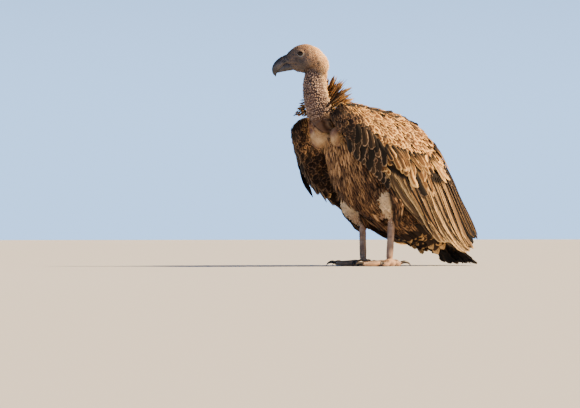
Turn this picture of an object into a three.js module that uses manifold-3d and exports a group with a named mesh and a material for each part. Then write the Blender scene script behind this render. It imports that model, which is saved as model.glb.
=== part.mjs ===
// A life-size griffon-type vulture standing on a floor, as a still museum model.
// Millimetres, +Z up. The bird faces -Y and its left side is +X. Its feet stand either side
// of X = 0 while it is built; the whole bird is then set with its box centred on the origin.
import * as THREE from "three";
import { mergeVertices } from "three/addons/utils/BufferGeometryUtils.js";
import Module from "manifold-3d";

const wasm = await Module();
wasm.setup();

// ---------------------------------------------------------------- driving dimensions
const GAP = 0.35; // clearance left between neighbouring pieces
const HEAD_TURN = THREE.MathUtils.degToRad(35); // the head looks to the bird's right
const HEAD_CENTRE = new THREE.Vector3(0, -205, 530);
const EYE_RADIUS = 8.5;
const EYE_FORWARD = 24; // from the head's centre towards the bill
const EYE_RISE = 14;
const EYE_OUT = 21.5;
const PALM_HEIGHT = 15;
const TOE_RADIUS = 8.5;
const TOE_CENTRE = 6.6; // height of a toe's axis, so that its sole is a flat on the floor
const RECTRIX_COUNT = 12;
const RUFF_PLUMES = 9;

// ---------------------------------------------------------------- finishes
const finish = (colour, roughness = 0.8) =>
  new THREE.MeshStandardMaterial({ color: colour, roughness, metalness: 0 });
const HEAD_DOWN = finish("#b79f84");
const BARE_NECK = finish("#a58478", 0.6);
const BILL_HORN = finish("#3b3634", 0.35);
const EYE_DARK = finish("#1b1410", 0.08);
const RUFF_BROWN = finish("#9c6a3a");
const BODY_BROWN = finish("#7a5a3c");
const COVERT_CREAM = finish("#a98d66");
const FLIGHT_BROWN = finish("#7d6a50");
const FLIGHT_BLACK = finish("#2a2523");
const THIGH_DOWN = finish("#bfae97");
const SHANK_SKIN = finish("#7d6a5e", 0.55);
const CLAW_HORN = finish("#2c2725", 0.35);

// ---------------------------------------------------------------- shape helpers
const vec = (x, y, z) => new THREE.Vector3(x, y, z);

/** A smooth function of t through [t, value] keys, flat outside them. */
function profile(keys) {
  const slope = (i) => {
    const [a, b] = [keys[Math.max(i - 1, 0)], keys[Math.min(i + 1, keys.length - 1)]];
    return (b[1] - a[1]) / (b[0] - a[0]);
  };
  return (t) => {
    if (t <= keys[0][0]) return keys[0][1];
    const i = keys.findIndex((k) => k[0] >= t);
    if (i < 0) return keys[keys.length - 1][1];
    const [[t0, v0], [t1, v1]] = [keys[i - 1], keys[i]];
    const w = t1 - t0;
    const s = (t - t0) / w;
    const a = v0 + slope(i - 1) * w * s;
    const b = v1 - slope(i) * w * (1 - s);
    const k = s * s * (3 - 2 * s);
    return a * (1 - k) + b * k;
  };
}

/** A closed solid from a three.js geometry, turned to face out. */
function solid(geometry) {
  const bare = new THREE.BufferGeometry();
  bare.setAttribute("position", geometry.getAttribute("position"));
  if (geometry.index) bare.setIndex(geometry.index);
  const merged = mergeVertices(bare, 1e-3);
  const build = (triVerts) =>
    new wasm.Manifold(
      new wasm.Mesh({ numProp: 3, vertProperties: merged.attributes.position.array, triVerts }),
    );
  const faces = new Uint32Array(merged.index.array);
  const made = build(faces);
  return made.volume() < 0 ? build(faces.reverse()) : made;
}

/** A solid's largest single body. */
function largest(made) {
  return made.decompose().sort((a, b) => b.volume() - a.volume())[0];
}

const FLAT = [[0, 0], [1, 0]];

/**
 * A tube of changing oval section along a smooth path, closed at both ends. A sphere's rings are
 * moved onto the path. side, up and down are the section's radii: side lies along hint, up and
 * down at right angles to it. curl pulls the up and down edges back against hint, so that a
 * flat tube hugs a body. blunt is 1 for an egg's end and more for a squarer one.
 */
function tube(spec, grow = 0) {
  const { path, side, up, down = up, hint, sides = 14, rings = 16, blunt = [2, 2] } = spec;
  const curve = new THREE.CatmullRomCurve3(path.map((p) => vec(...p)), false, "centripetal");
  const [sideAt, upAt, downAt] = [side, up, down].map(profile);
  const [curlUp, curlDown] = (spec.curl ?? [FLAT, FLAT]).map(profile);
  const toward = vec(...hint);
  const geometry = new THREE.SphereGeometry(1, sides, rings);
  const position = geometry.getAttribute("position");
  const uv = geometry.getAttribute("uv");
  for (let i = 0; i < position.count; i++) {
    const polar = Math.PI * (1 - uv.getY(i));
    const around = 2 * Math.PI * uv.getX(i);
    const t = THREE.MathUtils.clamp((1 - Math.cos(polar)) / 2, 0, 1);
    const along = curve.getTangentAt(t);
    const out = toward.clone().addScaledVector(along, -toward.dot(along)).normalize();
    const rise = out.clone().cross(along).normalize();
    const pole = Math.sin(polar) < 1e-6;
    const cap = pole ? 0 : Math.sin(polar) ** (1 / (t < 0.5 ? blunt[0] : blunt[1]));
    const [c, s] = [Math.cos(around), Math.sin(around)];
    const height = (s > 0 ? upAt(t) : downAt(t)) + grow;
    const curl = (s > 0 ? curlUp(t) : curlDown(t)) * s * s;
    const place = curve
      .getPointAt(t)
      .addScaledVector(along, -Math.cos(polar) * grow)
      .addScaledVector(out, cap * (c * (sideAt(t) + grow) - curl))
      .addScaledVector(rise, cap * s * height);
    position.setXYZ(i, place.x, place.y, place.z);
  }
  return solid(geometry);
}

/** A ball or egg. */
function egg(centre, radii, grow, detail) {
  const geometry = new THREE.SphereGeometry(1, detail, Math.round(detail * 0.7));
  geometry.scale(radii[0] + grow, radii[1] + grow, radii[2] + grow);
  geometry.translate(...centre);
  return solid(geometry);
}

/** A thin feather blade, widest past its middle, with a rounded or pointed tip. */
function blade(spec, grow = 0) {
  const { path, hint, width, thick = 1.6, tip = 0.45, rings = 4 } = spec;
  return tube(
    {
      path,
      hint,
      side: [[0, thick], [0.7, thick * 0.8], [1, thick * 0.5]],
      up: [[0, width * 0.5], [0.35, width * 0.9], [0.75, width], [1, width * tip]],
      sides: 4,
      rings,
      blunt: [3, 2.4],
    },
    grow,
  );
}

const join = (solids) => wasm.Manifold.union(solids);

// ---------------------------------------------------------------- head frame
const FORWARD = vec(-Math.sin(HEAD_TURN), -Math.cos(HEAD_TURN), 0);
const LEFT = vec(Math.cos(HEAD_TURN), -Math.sin(HEAD_TURN), 0);

/** A point given forward, left and up from the head's centre. */
function onHead(forward, left, up) {
  return HEAD_CENTRE.clone()
    .addScaledVector(FORWARD, forward)
    .addScaledVector(LEFT, left)
    .add(vec(0, 0, up))
    .toArray();
}

/** A path in the head's middle plane, from pairs given forward and up from its centre. */
const onProfile = (pairs) => pairs.map(([forward, up]) => onHead(forward, 0, up));

// ---------------------------------------------------------------- head, bill and eyes
const head = (grow) =>
  tube(
    {
      path: onProfile([[-31, -43], [-19, -16], [2, -2], [30, 0], [62, -9]]),
      hint: LEFT.clone().negate().toArray(),
      side: [[0, 20], [0.25, 29], [0.45, 31], [0.62, 28], [0.8, 20], [1, 14]],
      up: [[0, 22], [0.15, 28], [0.3, 31], [0.47, 35.8], [0.66, 37.5], [0.82, 30], [1, 23]],
      down: [[0, 20], [0.12, 19], [0.28, 22], [0.47, 33.5], [0.72, 36.5], [0.88, 31.5], [1, 19]],
      sides: 14,
      rings: 12,
      blunt: [2, 4],
    },
    grow,
  );

const upperBill = (grow) =>
  tube(
    {
      path: onProfile([[46, -4], [64, -8], [76, -14.5], [85, -23], [89, -32.5], [87.5, -43.5]]),
      hint: LEFT.clone().negate().toArray(),
      side: [[0, 13.5], [0.4, 11.5], [0.7, 6.5], [1, 2]],
      up: [[0, 14], [0.28, 14.5], [0.48, 13.5], [0.67, 11.5], [0.83, 8], [1, 2.2]],
      down: [[0, 9], [0.28, 9], [0.48, 9.5], [0.67, 11], [0.83, 4.5], [1, 2]],
      sides: 10,
      rings: 12,
      blunt: [4, 1.4],
    },
    grow,
  );

const lowerBill = (grow) =>
  tube(
    {
      path: onProfile([[42, -21], [58, -22.5], [69, -27], [78, -33]]),
      hint: LEFT.clone().negate().toArray(),
      side: [[0, 12.5], [0.5, 9.5], [1, 4]],
      up: [[0, 9], [0.4, 10.5], [0.7, 8], [1, 3]],
      down: [[0, 10], [0.4, 8.3], [0.7, 5.5], [1, 3]],
      sides: 8,
      rings: 6,
      blunt: [3, 2],
    },
    grow,
  );

const eyeball = (sign) => (grow) =>
  egg(onHead(EYE_FORWARD, sign * EYE_OUT, EYE_RISE), [EYE_RADIUS, EYE_RADIUS, EYE_RADIUS], grow, 9);

// ---------------------------------------------------------------- neck
const NAPE = [[0, -192, 472], [0, -189.5, 440], [0, -179, 410], [0, -165, 378], [0, -150, 345]];
const neck = (grow) =>
  tube(
    {
      path: [onHead(-12, 0, -8), ...NAPE],
      hint: [1, 0, 0],
      side: [[0, 25], [0.3, 28.5], [0.47, 30.5], [0.62, 34], [0.8, 39], [1, 42]],
      up: [[0, 40], [0.15, 38.5], [0.3, 31], [0.47, 31], [0.62, 35], [0.8, 41], [1, 44]],
      down: [[0, 22], [0.15, 27], [0.3, 30.5], [0.47, 32], [0.62, 35], [0.8, 36], [1, 36]],
      sides: 12,
      rings: 10,
      blunt: [3, 3],
    },
    grow,
  );

// ---------------------------------------------------------------- trunk with its two crop pads
const TRUNK = {
  path: [
    [0, -146, 362], [0, -88, 318], [0, -32, 270], [0, 34, 212], [0, 100, 154], [0, 160, 102], [0, 210, 58],
  ],
  hint: [1, 0, 0],
  side: [[0, 58], [0.15, 86], [0.38, 106], [0.6, 98], [0.8, 74], [1, 46]],
  up: [[0, 60], [0.2, 116], [0.38, 138], [0.56, 136], [0.78, 98], [1, 36]],
  down: [[0, 60], [0.2, 100], [0.35, 118], [0.5, 113], [0.65, 97], [0.83, 70], [0.92, 56], [1, 42]],
  sides: 16,
  rings: 13,
  blunt: [2.4, 2.4],
};
const CROP_SPREAD = 28;
const trunk = (grow) =>
  join([
    tube(TRUNK, grow),
    ...[-1, 1].map((sign) => egg([sign * CROP_SPREAD, -157, 343], [30, 27, 43], grow, 9)),
  ]);

// ---------------------------------------------------------------- ruff of plumes round the nape
const RUFF_CENTRE = vec(0, -178, 402);
// out and up are a plume's reach at the sides and at the back
const UPPER_ROW = { radius: 42, drop: 0, out: [42, 4], up: [16, 72] };
const LOWER_ROW = { radius: 46, drop: 12, out: [38, 32], up: [4, 34] };
const ruff = (grow) => {
  // A turn of 0 is the bird's right side, 0.5 its back and 1 its left side.
  const ring = (turn) => vec(-Math.cos(turn * Math.PI), Math.sin(turn * Math.PI), 0);
  const collar = [-0.1, 0.2, 0.5, 0.8, 1.08].map((turn) =>
    RUFF_CENTRE.clone()
      .addScaledVector(ring(turn), 50)
      .add(vec(0, 0, 14 * Math.sin(turn * Math.PI)))
      .toArray(),
  );
  const plumes = [
    tube(
      {
        path: collar,
        hint: [0, 0, 1],
        side: [[0, 12], [0.5, 24], [1, 12]],
        up: [[0, 13], [0.5, 19], [1, 13]],
        sides: 6,
        rings: 6,
      },
      grow,
    ),
  ];
  // An upper row stands up behind the neck, and a lower row leans out over the back.
  for (const row of [UPPER_ROW, LOWER_ROW]) {
    for (let i = 0; i < RUFF_PLUMES; i++) {
      const turn = THREE.MathUtils.lerp(-0.06, 1.02, i / (RUFF_PLUMES - 1));
      const away = ring(turn);
      const back = Math.max(0, away.y) ** 2;
      const jitter = (i * 5) % 4;
      const root = RUFF_CENTRE.clone().addScaledVector(away, row.radius).add(vec(0, 0, 16 * back - row.drop));
      const tipPoint = root
        .clone()
        .addScaledVector(away, THREE.MathUtils.lerp(row.out[0], row.out[1], back) + 3 * jitter)
        .add(vec(0, 0, THREE.MathUtils.lerp(row.up[0], row.up[1], back) - 4 * jitter));
      const middle = root.clone().lerp(tipPoint, 0.5).addScaledVector(away, -3);
      plumes.push(
        blade(
          {
            path: [root, middle, tipPoint].map((p) => p.toArray()),
            hint: [-away.x * 0.6, -away.y * 0.6, 0.8],
            width: 10,
            thick: 2.8,
            tip: 0.2,
            rings: 3,
          },
          grow,
        ),
      );
    }
  }
  return join(plumes);
};

// ---------------------------------------------------------------- wings
// Wrist first, then back along the folded wing to its tip. The right wing is carried lower and wider.
const WING_LINE = [
  [90, -192, 394],
  [112, -134, 364],
  [121, -67, 328],
  [120, -6, 296],
  [112, 57, 252],
  [98, 130, 190],
  [84, 180, 144],
  [62, 234, 98],
  [46, 284, 54],
];
const WRIST_DROP = { 1: 0, [-1]: 30 };
const SPREAD = { 1: 1, [-1]: 1.05 };
const UPPER_REACH = [
  [0, 74], [0.12, 80], [0.25, 101], [0.37, 118], [0.5, 131], [0.66, 111], [0.78, 86], [0.9, 67], [1, 38],
];
const LOWER_REACH = {
  1: [[0, 34], [0.14, 58], [0.28, 78], [0.44, 100], [0.58, 104], [0.72, 100], [0.84, 76], [1, 34]],
  [-1]: [
    [0, 40], [0.14, 84], [0.2, 100], [0.28, 108], [0.44, 114], [0.6, 112], [0.74, 94], [0.86, 64], [1, 34],
  ],
};
const UPPER_CURL = [[0, 6], [0.3, 34], [0.55, 46], [0.8, 32], [1, 10]];
const LOWER_CURL = [[0, 4], [0.3, 24], [0.6, 18], [1, 4]];

/** The folded wing as a tube: wrist at t = 0, rear end at t = 1. */
function wingSpec(sign) {
  const last = WING_LINE.length - 1;
  return {
    path: WING_LINE.map(([x, y, z], i) => [
      sign * x * SPREAD[sign],
      y,
      z - WRIST_DROP[sign] * Math.min(1, 1.6 * (1 - i / last)),
    ]),
    hint: [sign, 0.15, 0.15],
    side: [[0, 24], [0.2, 26], [0.5, 20], [0.8, 12], [1, 6]],
    ...(sign > 0
      ? { up: UPPER_REACH, down: LOWER_REACH[1], curl: [UPPER_CURL, LOWER_CURL] }
      : { up: LOWER_REACH[-1], down: UPPER_REACH, curl: [LOWER_CURL, UPPER_CURL] }),
    sides: 12,
    rings: 13,
  };
}

/** A point on a wing's outer face: t along it, height from -1 (lower edge) to 1 (upper edge). */
function onWing(sign, t, height, lift) {
  const spec = wingSpec(sign);
  const curve = new THREE.CatmullRomCurve3(spec.path.map((p) => vec(...p)), false, "centripetal");
  const inside = Math.min(t, 1);
  const along = curve.getTangentAt(inside);
  const toward = vec(...spec.hint);
  const out = toward.clone().addScaledVector(along, -toward.dot(along)).normalize();
  const rise = out.clone().cross(along).normalize();
  const swell = Math.sqrt(1 - height * height) * profile(spec.side)(inside);
  const reach = profile(sign * height > 0 ? spec.up : spec.down)(inside) * height * sign;
  const curl = profile(height > 0 ? UPPER_CURL : LOWER_CURL)(inside) * height * height;
  return curve
    .getPointAt(inside)
    .addScaledVector(along, (t - inside) * curve.getLength())
    .addScaledVector(out, swell - curl + lift)
    .addScaledVector(rise, reach)
    .toArray();
}

/** Long flight feathers laid along a wing's face, from the first row value to the last. */
function flightFeathers(sign, rows, grow) {
  const { count, root, tip, lift, width } = rows;
  return Array.from({ length: count }, (_, i) => {
    const share = i / (count - 1);
    const mix = (key) => THREE.MathUtils.lerp(key[0], key[1], share);
    const step = (s) =>
      onWing(
        sign,
        THREE.MathUtils.lerp(mix(root.along), mix(tip.along), s),
        THREE.MathUtils.lerp(mix(root.height), mix(tip.height), s),
        lift,
      );
    const path = [0, 0.35, 0.7, 1].map(step);
    return blade({ path, hint: [sign, 0.15, 0.15], width, thick: 2.6, tip: 0.5, rings: 3 }, grow);
  });
}

const SECONDARIES = {
  count: 7,
  root: { along: [0.42, 0.6], height: [-0.72, 0.1] },
  tip: { along: [0.8, 1.02], height: [-0.99, -0.7] },
  lift: 0,
  width: 17,
};
const PRIMARIES = {
  count: 4,
  root: { along: [0.58, 0.62], height: [0.1, 0.72] },
  tip: { along: [0.99, 1.07], height: [0.2, 0.8] },
  lift: -3,
  width: 15,
};
const wing = (sign) => (grow) =>
  join([
    tube(wingSpec(sign), grow),
    ...flightFeathers(sign, SECONDARIES, grow),
    ...flightFeathers(sign, PRIMARIES, grow),
  ]);

/** The one loose feather that hangs from the right wing's wrist. */
const looseFeather = (grow) =>
  blade(
    {
      path: [[-128, -150, 270], [-130, -138, 226], [-124, -114, 180]],
      hint: [1, 0.2, 0],
      width: 10,
      thick: 2,
      tip: 0.2,
    },
    grow,
  );

// ---------------------------------------------------------------- tail
const tail = (grow) => {
  const feathers = [];
  for (let i = 0; i < RECTRIX_COUNT; i++) {
    const share = (i / (RECTRIX_COUNT - 1)) * 2 - 1;
    const length = 1 - 0.1 * share * share - 0.03 * (i % 2);
    const root = vec(share * 22, 150, 108);
    const tipPoint = vec(share * 76, 150 + 124 * length, 1.2);
    const middle = root.clone().lerp(tipPoint, 0.55).add(vec(0, 3, 2));
    feathers.push(
      blade(
        {
          path: [root, middle, tipPoint].map((p) => p.toArray()),
          hint: [0, 0.66, 0.75],
          width: 19,
          thick: 3.4,
          tip: 0.6,
        },
        grow,
      ),
    );
  }
  return join(feathers);
};

// ---------------------------------------------------------------- legs
const LEGS = {
  1: {
    hip: [68, -26, 222],
    knee: [74, -14, 174],
    calf: [66, 4, 144],
    heel: [54, 12, 114],
    palm: [52, 6, 16],
  },
  [-1]: {
    hip: [-68, -30, 206],
    knee: [-74, -26, 160],
    calf: [-66, -16, 128],
    heel: [-55, -4, 98],
    palm: [-52, -4, 16],
  },
};

const thigh = (sign) => (grow) => {
  const { hip, knee, calf, heel } = LEGS[sign];
  return tube(
    {
      path: [hip, knee, calf, heel],
      hint: [sign, 0, 0],
      side: [[0, 30], [0.35, 32], [0.7, 22], [1, 11]],
      up: [[0, 36], [0.35, 34], [0.7, 25], [1, 12]],
      sides: 12,
      rings: 9,
    },
    grow,
  );
};

const shank = (sign) => (grow) => {
  const { heel, palm } = LEGS[sign];
  const middle = [(heel[0] + palm[0]) / 2, (heel[1] + palm[1]) / 2, (heel[2] + palm[2]) / 2];
  return tube(
    {
      path: [[heel[0], heel[1], heel[2] + 12], middle, palm],
      hint: [sign, 0, 0],
      side: [[0, 11], [0.3, 8.5], [0.75, 8.5], [1, 11]],
      up: [[0, 13], [0.3, 10], [0.75, 10], [1, 12]],
      sides: 8,
      rings: 6,
      blunt: [2, 2.5],
    },
    grow,
  );
};

/** Toes by name: heading in degrees from straight ahead (outwards is positive), length, claw length. */
const TOES = {
  middle: { heading: 3, length: 88, claw: 25 },
  inner: { heading: -34, length: 56, claw: 27 },
  outer: { heading: 38, length: 60, claw: 22 },
  hind: { heading: 168, length: 34, claw: 26 },
};

/** The line from a foot's palm along a toe: a unit vector on the floor. */
function toeLine(sign, heading) {
  const angle = THREE.MathUtils.degToRad(heading);
  return vec(sign * Math.sin(angle), -Math.cos(angle), 0);
}

const palm = (sign) => (grow) => {
  const [x, y] = LEGS[sign].palm;
  return egg([x, y, PALM_HEIGHT * 0.55], [15, 17, PALM_HEIGHT * 0.85], grow, 10);
};

const toe = (sign, name) => (grow) => {
  const { heading, length } = TOES[name];
  const line = toeLine(sign, heading);
  const [x, y] = LEGS[sign].palm;
  const at = (distance, z) => [x + line.x * distance, y + line.y * distance, z];
  return tube(
    {
      path: [at(6, 11), at(20, TOE_CENTRE + 2), at(length * 0.6, TOE_CENTRE), at(length, TOE_CENTRE)],
      hint: [-line.y, line.x, 0],
      side: [[0, TOE_RADIUS], [0.5, TOE_RADIUS], [1, TOE_RADIUS * 0.75]],
      up: [[0, TOE_RADIUS], [0.5, TOE_RADIUS * 0.95], [1, TOE_RADIUS * 0.7]],
      sides: 7,
      rings: 5,
    },
    grow,
  );
};

const claw = (sign, name) => (grow) => {
  const { heading, length, claw: reach } = TOES[name];
  const line = toeLine(sign, heading);
  const [x, y] = LEGS[sign].palm;
  const at = (distance, z) => [x + line.x * distance, y + line.y * distance, z];
  return tube(
    {
      path: [
        at(length - 5, 8.5),
        at(length + reach * 0.35, 11),
        at(length + reach * 0.75, 8),
        at(length + reach, 1.6),
      ],
      hint: [-line.y, line.x, 0],
      side: [[0, 4.2], [0.5, 3], [1, 0.9]],
      up: [[0, 5], [0.5, 3.6], [1, 1]],
      sides: 6,
      rings: 5,
      blunt: [2, 1.4],
    },
    grow,
  );
};

// ---------------------------------------------------------------- assembly
const group = new THREE.Group();
const FLOOR_CUT = solid(new THREE.BoxGeometry(1200, 1200, 200).translate(0, 0, -100));

/** Everything on one side of a plane: the side the normal points to, moved out by grow. */
function beyond(point, normal, grow) {
  const size = 1500;
  const facing = vec(...normal).normalize();
  const box = new THREE.BoxGeometry(size, size, size).translate(0, 0, size / 2);
  box.applyQuaternion(new THREE.Quaternion().setFromUnitVectors(vec(0, 0, 1), facing));
  return solid(box.translate(...vec(...point).addScaledVector(facing, -grow)));
}

/** Where a wing's flight feathers lie: below and behind the tips of its coverts. */
const flightArea = (drop) => (grow) =>
  beyond([0, -82, 338 - drop], [0, -0.445, -0.895], grow).intersect(beyond([0, -90, 0], [0, 1, 0.1], grow));
/** Where the primaries lie: the upper rear of the flight feathers. */
const primaryArea = (grow) => beyond([0, 170, 214], [0, 0.91, 0.415], grow);

/** Adds one named piece: its own shape less the grown shapes of the neighbours that come first. */
function piece(name, material, shape, neighbours = []) {
  let made = shape(0).subtract(FLOOR_CUT);
  if (neighbours.length) made = made.subtract(join(neighbours.map((n) => n(GAP))));
  const { numProp, vertProperties, triVerts } = largest(made).getMesh();
  const places = new Float32Array((vertProperties.length / numProp) * 3);
  for (let i = 0; i < places.length / 3; i++)
    places.set(vertProperties.subarray(i * numProp, i * numProp + 3), i * 3);
  const geometry = new THREE.BufferGeometry()
    .setAttribute("position", new THREE.BufferAttribute(places, 3))
    .setIndex(new THREE.BufferAttribute(triVerts, 1));
  geometry.computeVertexNormals();
  const mesh = new THREE.Mesh(geometry, material);
  mesh.name = name;
  group.add(mesh);
}

const [eyeLeft, eyeRight] = [eyeball(1), eyeball(-1)];
piece("eye_left", EYE_DARK, eyeLeft);
piece("eye_right", EYE_DARK, eyeRight);
piece("head", HEAD_DOWN, head, [eyeLeft, eyeRight]);
piece("bill_upper", BILL_HORN, upperBill, [head]);
piece("bill_lower", BILL_HORN, lowerBill, [head, upperBill]);
piece("neck", BARE_NECK, neck, [head, trunk]);
const thighs = [thigh(1), thigh(-1)];
piece("trunk", BODY_BROWN, trunk, thighs);
piece("tail", FLIGHT_BLACK, tail, [trunk]);
piece("ruff", RUFF_BROWN, ruff, [neck, trunk, head]);
for (const [sign, where] of [[1, "left"], [-1, "right"]]) {
  const [thighHere, shankHere, palmHere] = [thigh(sign), shank(sign), palm(sign)];
  piece("thigh_" + where, THIGH_DOWN, thighHere);
  piece("shank_" + where, SHANK_SKIN, shankHere, [thighHere, trunk]);
  piece("foot_" + where, SHANK_SKIN, palmHere, [shankHere]);
  const before = [shankHere, palmHere];
  for (const name of Object.keys(TOES)) {
    const toeHere = toe(sign, name);
    piece(`toe_${name}_${where}`, SHANK_SKIN, toeHere, before);
    piece(`claw_${name}_${where}`, CLAW_HORN, claw(sign, name), [toeHere, ...before]);
    before.push(toeHere);
  }
  const whole = wing(sign);
  const flight = flightArea(WRIST_DROP[sign]);
  const touching = [trunk, tail, ruff, neck, thighHere];
  piece("wing_" + where, COVERT_CREAM, whole, [flight, ...touching]);
  const quills = (grow) => whole(grow).intersect(flight(0));
  piece("secondaries_" + where, FLIGHT_BROWN, quills, [primaryArea, ...touching]);
  piece("primaries_" + where, FLIGHT_BLACK, (g) => quills(g).intersect(primaryArea(0)), touching);
}
piece("alula_right", FLIGHT_BLACK, looseFeather, [wing(-1)]);

const box = new THREE.Box3().setFromObject(group);
const middle = box.getCenter(vec(0, 0, 0));
group.position.set(-middle.x, -middle.y, -box.min.z);

export default group;
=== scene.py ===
"""A standing griffon vulture at life size, a still museum model with its head turned to its right.

Sizes are in millimetres, in the bird's own frame: it faces -Y, its left is +X, +Z is up and its
feet stand on z 0 on either side of x 0. Meshes are made in metres, moved to the frame's feet.
"""

from __future__ import annotations

import logging
import math
from dataclasses import dataclass, field
from enum import Enum
from functools import cached_property
from typing import Callable, Sequence

import bmesh
import bpy
import numpy as np
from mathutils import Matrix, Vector
from mathutils.kdtree import KDTree

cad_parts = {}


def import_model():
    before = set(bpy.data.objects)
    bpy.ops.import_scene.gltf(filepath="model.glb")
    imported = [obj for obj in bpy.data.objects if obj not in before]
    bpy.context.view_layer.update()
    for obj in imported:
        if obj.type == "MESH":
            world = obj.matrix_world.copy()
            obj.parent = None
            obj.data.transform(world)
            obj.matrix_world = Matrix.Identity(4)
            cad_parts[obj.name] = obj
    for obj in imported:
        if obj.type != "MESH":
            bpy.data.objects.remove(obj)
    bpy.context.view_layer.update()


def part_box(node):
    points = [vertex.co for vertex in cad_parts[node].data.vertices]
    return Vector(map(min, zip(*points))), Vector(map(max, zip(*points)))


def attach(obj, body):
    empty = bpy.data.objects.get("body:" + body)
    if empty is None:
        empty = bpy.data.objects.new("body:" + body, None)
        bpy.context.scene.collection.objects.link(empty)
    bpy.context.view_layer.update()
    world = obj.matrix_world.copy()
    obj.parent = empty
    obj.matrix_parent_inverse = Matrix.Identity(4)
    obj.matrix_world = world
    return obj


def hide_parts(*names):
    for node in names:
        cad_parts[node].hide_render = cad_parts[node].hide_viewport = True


log = logging.getLogger("vulture")
Array = np.ndarray
Keys = tuple
Material = bpy.types.Material
Mesh = bpy.types.Mesh
Socket = bpy.types.NodeSocket
Thing = bpy.types.Object
TAU = 2 * math.pi
FLAT = ((0, 0), (1, 0))
PATCH = 0.003
SENSOR = 36.0

HEAD_TURN = math.radians(35)
HEAD_CENTRE = np.array([0.0, -205.0, 530.0])
FORWARD = np.array([-math.sin(HEAD_TURN), -math.cos(HEAD_TURN), 0.0])
LEFTWARD = np.array([math.cos(HEAD_TURN), -math.sin(HEAD_TURN), 0.0])
UPWARD = np.array([0.0, 0.0, 1.0])

EAR = (-21, -14)
EYE_RADIUS = 8.5
EYE_FORWARD = 22.5
EYE_RISE = 12.0
EYE_OUT = 21.5


class Side(Enum):
    """The bird's own left and right, with the sign of X on each."""

    LEFT = 1
    RIGHT = -1

    @property
    def word(self) -> str:
        """The side's name, as pieces end with it."""
        return self.name.lower()


# ---------------------------------------------------------------- numbers and vectors


def unit(v: Array) -> Array:
    """Vectors of length one."""
    v = np.asarray(v, float)
    return v / np.maximum(np.linalg.norm(v, axis=-1, keepdims=True), 1e-12)


def dot(a: Array, b: Array) -> Array:
    """Dot products along the last axis."""
    return (np.asarray(a) * np.asarray(b)).sum(-1)


def soft_step(low: float, high: float, x: Array) -> Array:
    """Rises smoothly from 0 at low to 1 at high; low may be the larger."""
    s = np.clip((np.asarray(x, float) - low) / (high - low), 0, 1)
    return s * s * (3 - 2 * s)


def hill(x: Array, width: float) -> Array:
    """A smooth hill of height 1 round x 0."""
    return np.exp(-((np.asarray(x, float) / width) ** 2))


def blend(pair: tuple, share: Array) -> Array:
    """The value at a share of the way from a pair's first to its second."""
    return pair[0] + (pair[1] - pair[0]) * share


def facing(points: Array, way: Sequence) -> Array:
    """One direction of length one, repeated for each of the points."""
    return np.zeros_like(points) + unit(way)


def smooth_keys(keys: Keys, t: Array) -> Array:
    """Reads a smooth curve through (place, value) keys, flat outside them.

    Args:
        keys: pairs of place and value, in order.
        t: where to read the curve.

    Returns:
        The value at each t.
    """
    at, value = np.array(keys, float).T
    t = np.clip(np.asarray(t, float), at[0], at[-1])
    ends = (value[1:] - value[:-1]) / (at[1:] - at[:-1])
    slope = np.concatenate([ends[:1], (value[2:] - value[:-2]) / (at[2:] - at[:-2]), ends[-1:]])
    i = np.clip(np.searchsorted(at, t, side="left"), 1, len(at) - 1)
    width = at[i] - at[i - 1]
    s = (t - at[i - 1]) / width
    rising = value[i - 1] + slope[i - 1] * width * s
    falling = value[i] - slope[i] * width * (1 - s)
    k = s * s * (3 - 2 * s)
    return rising * (1 - k) + falling * k


def on_head(forward: float, left: float, up: float) -> Array:
    """The point that lies so far forward, left and up of the head's centre."""
    return HEAD_CENTRE + forward * FORWARD + left * LEFTWARD + up * UPWARD


def head_line(*places: tuple) -> tuple:
    """A line in the head's middle plane, through places forward and up of its centre."""
    return tuple(on_head(forward, 0, up) for forward, up in places)


def head_places(points: Array) -> tuple[Array, Array, Array]:
    """How far forward, left and up of the head's centre points are."""
    away = points - HEAD_CENTRE
    return away @ FORWARD, away @ LEFTWARD, away @ UPWARD


def spot(forward: Array, up: Array, centre: tuple, radii: tuple) -> Array:
    """A smooth hill of height 1 over an oval place on the side of the head.

    Args:
        forward: how far forward of the head's centre each place is.
        up: how far above it.
        centre: the hill's own place, forward and up.
        radii: its radii, forward and up, in millimetres.

    Returns:
        The hill's height at each place.
    """
    return np.exp(-(((forward - centre[0]) / radii[0]) ** 2) - ((up - centre[1]) / radii[1]) ** 2)


# ---------------------------------------------------------------- the body's own forms


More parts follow.
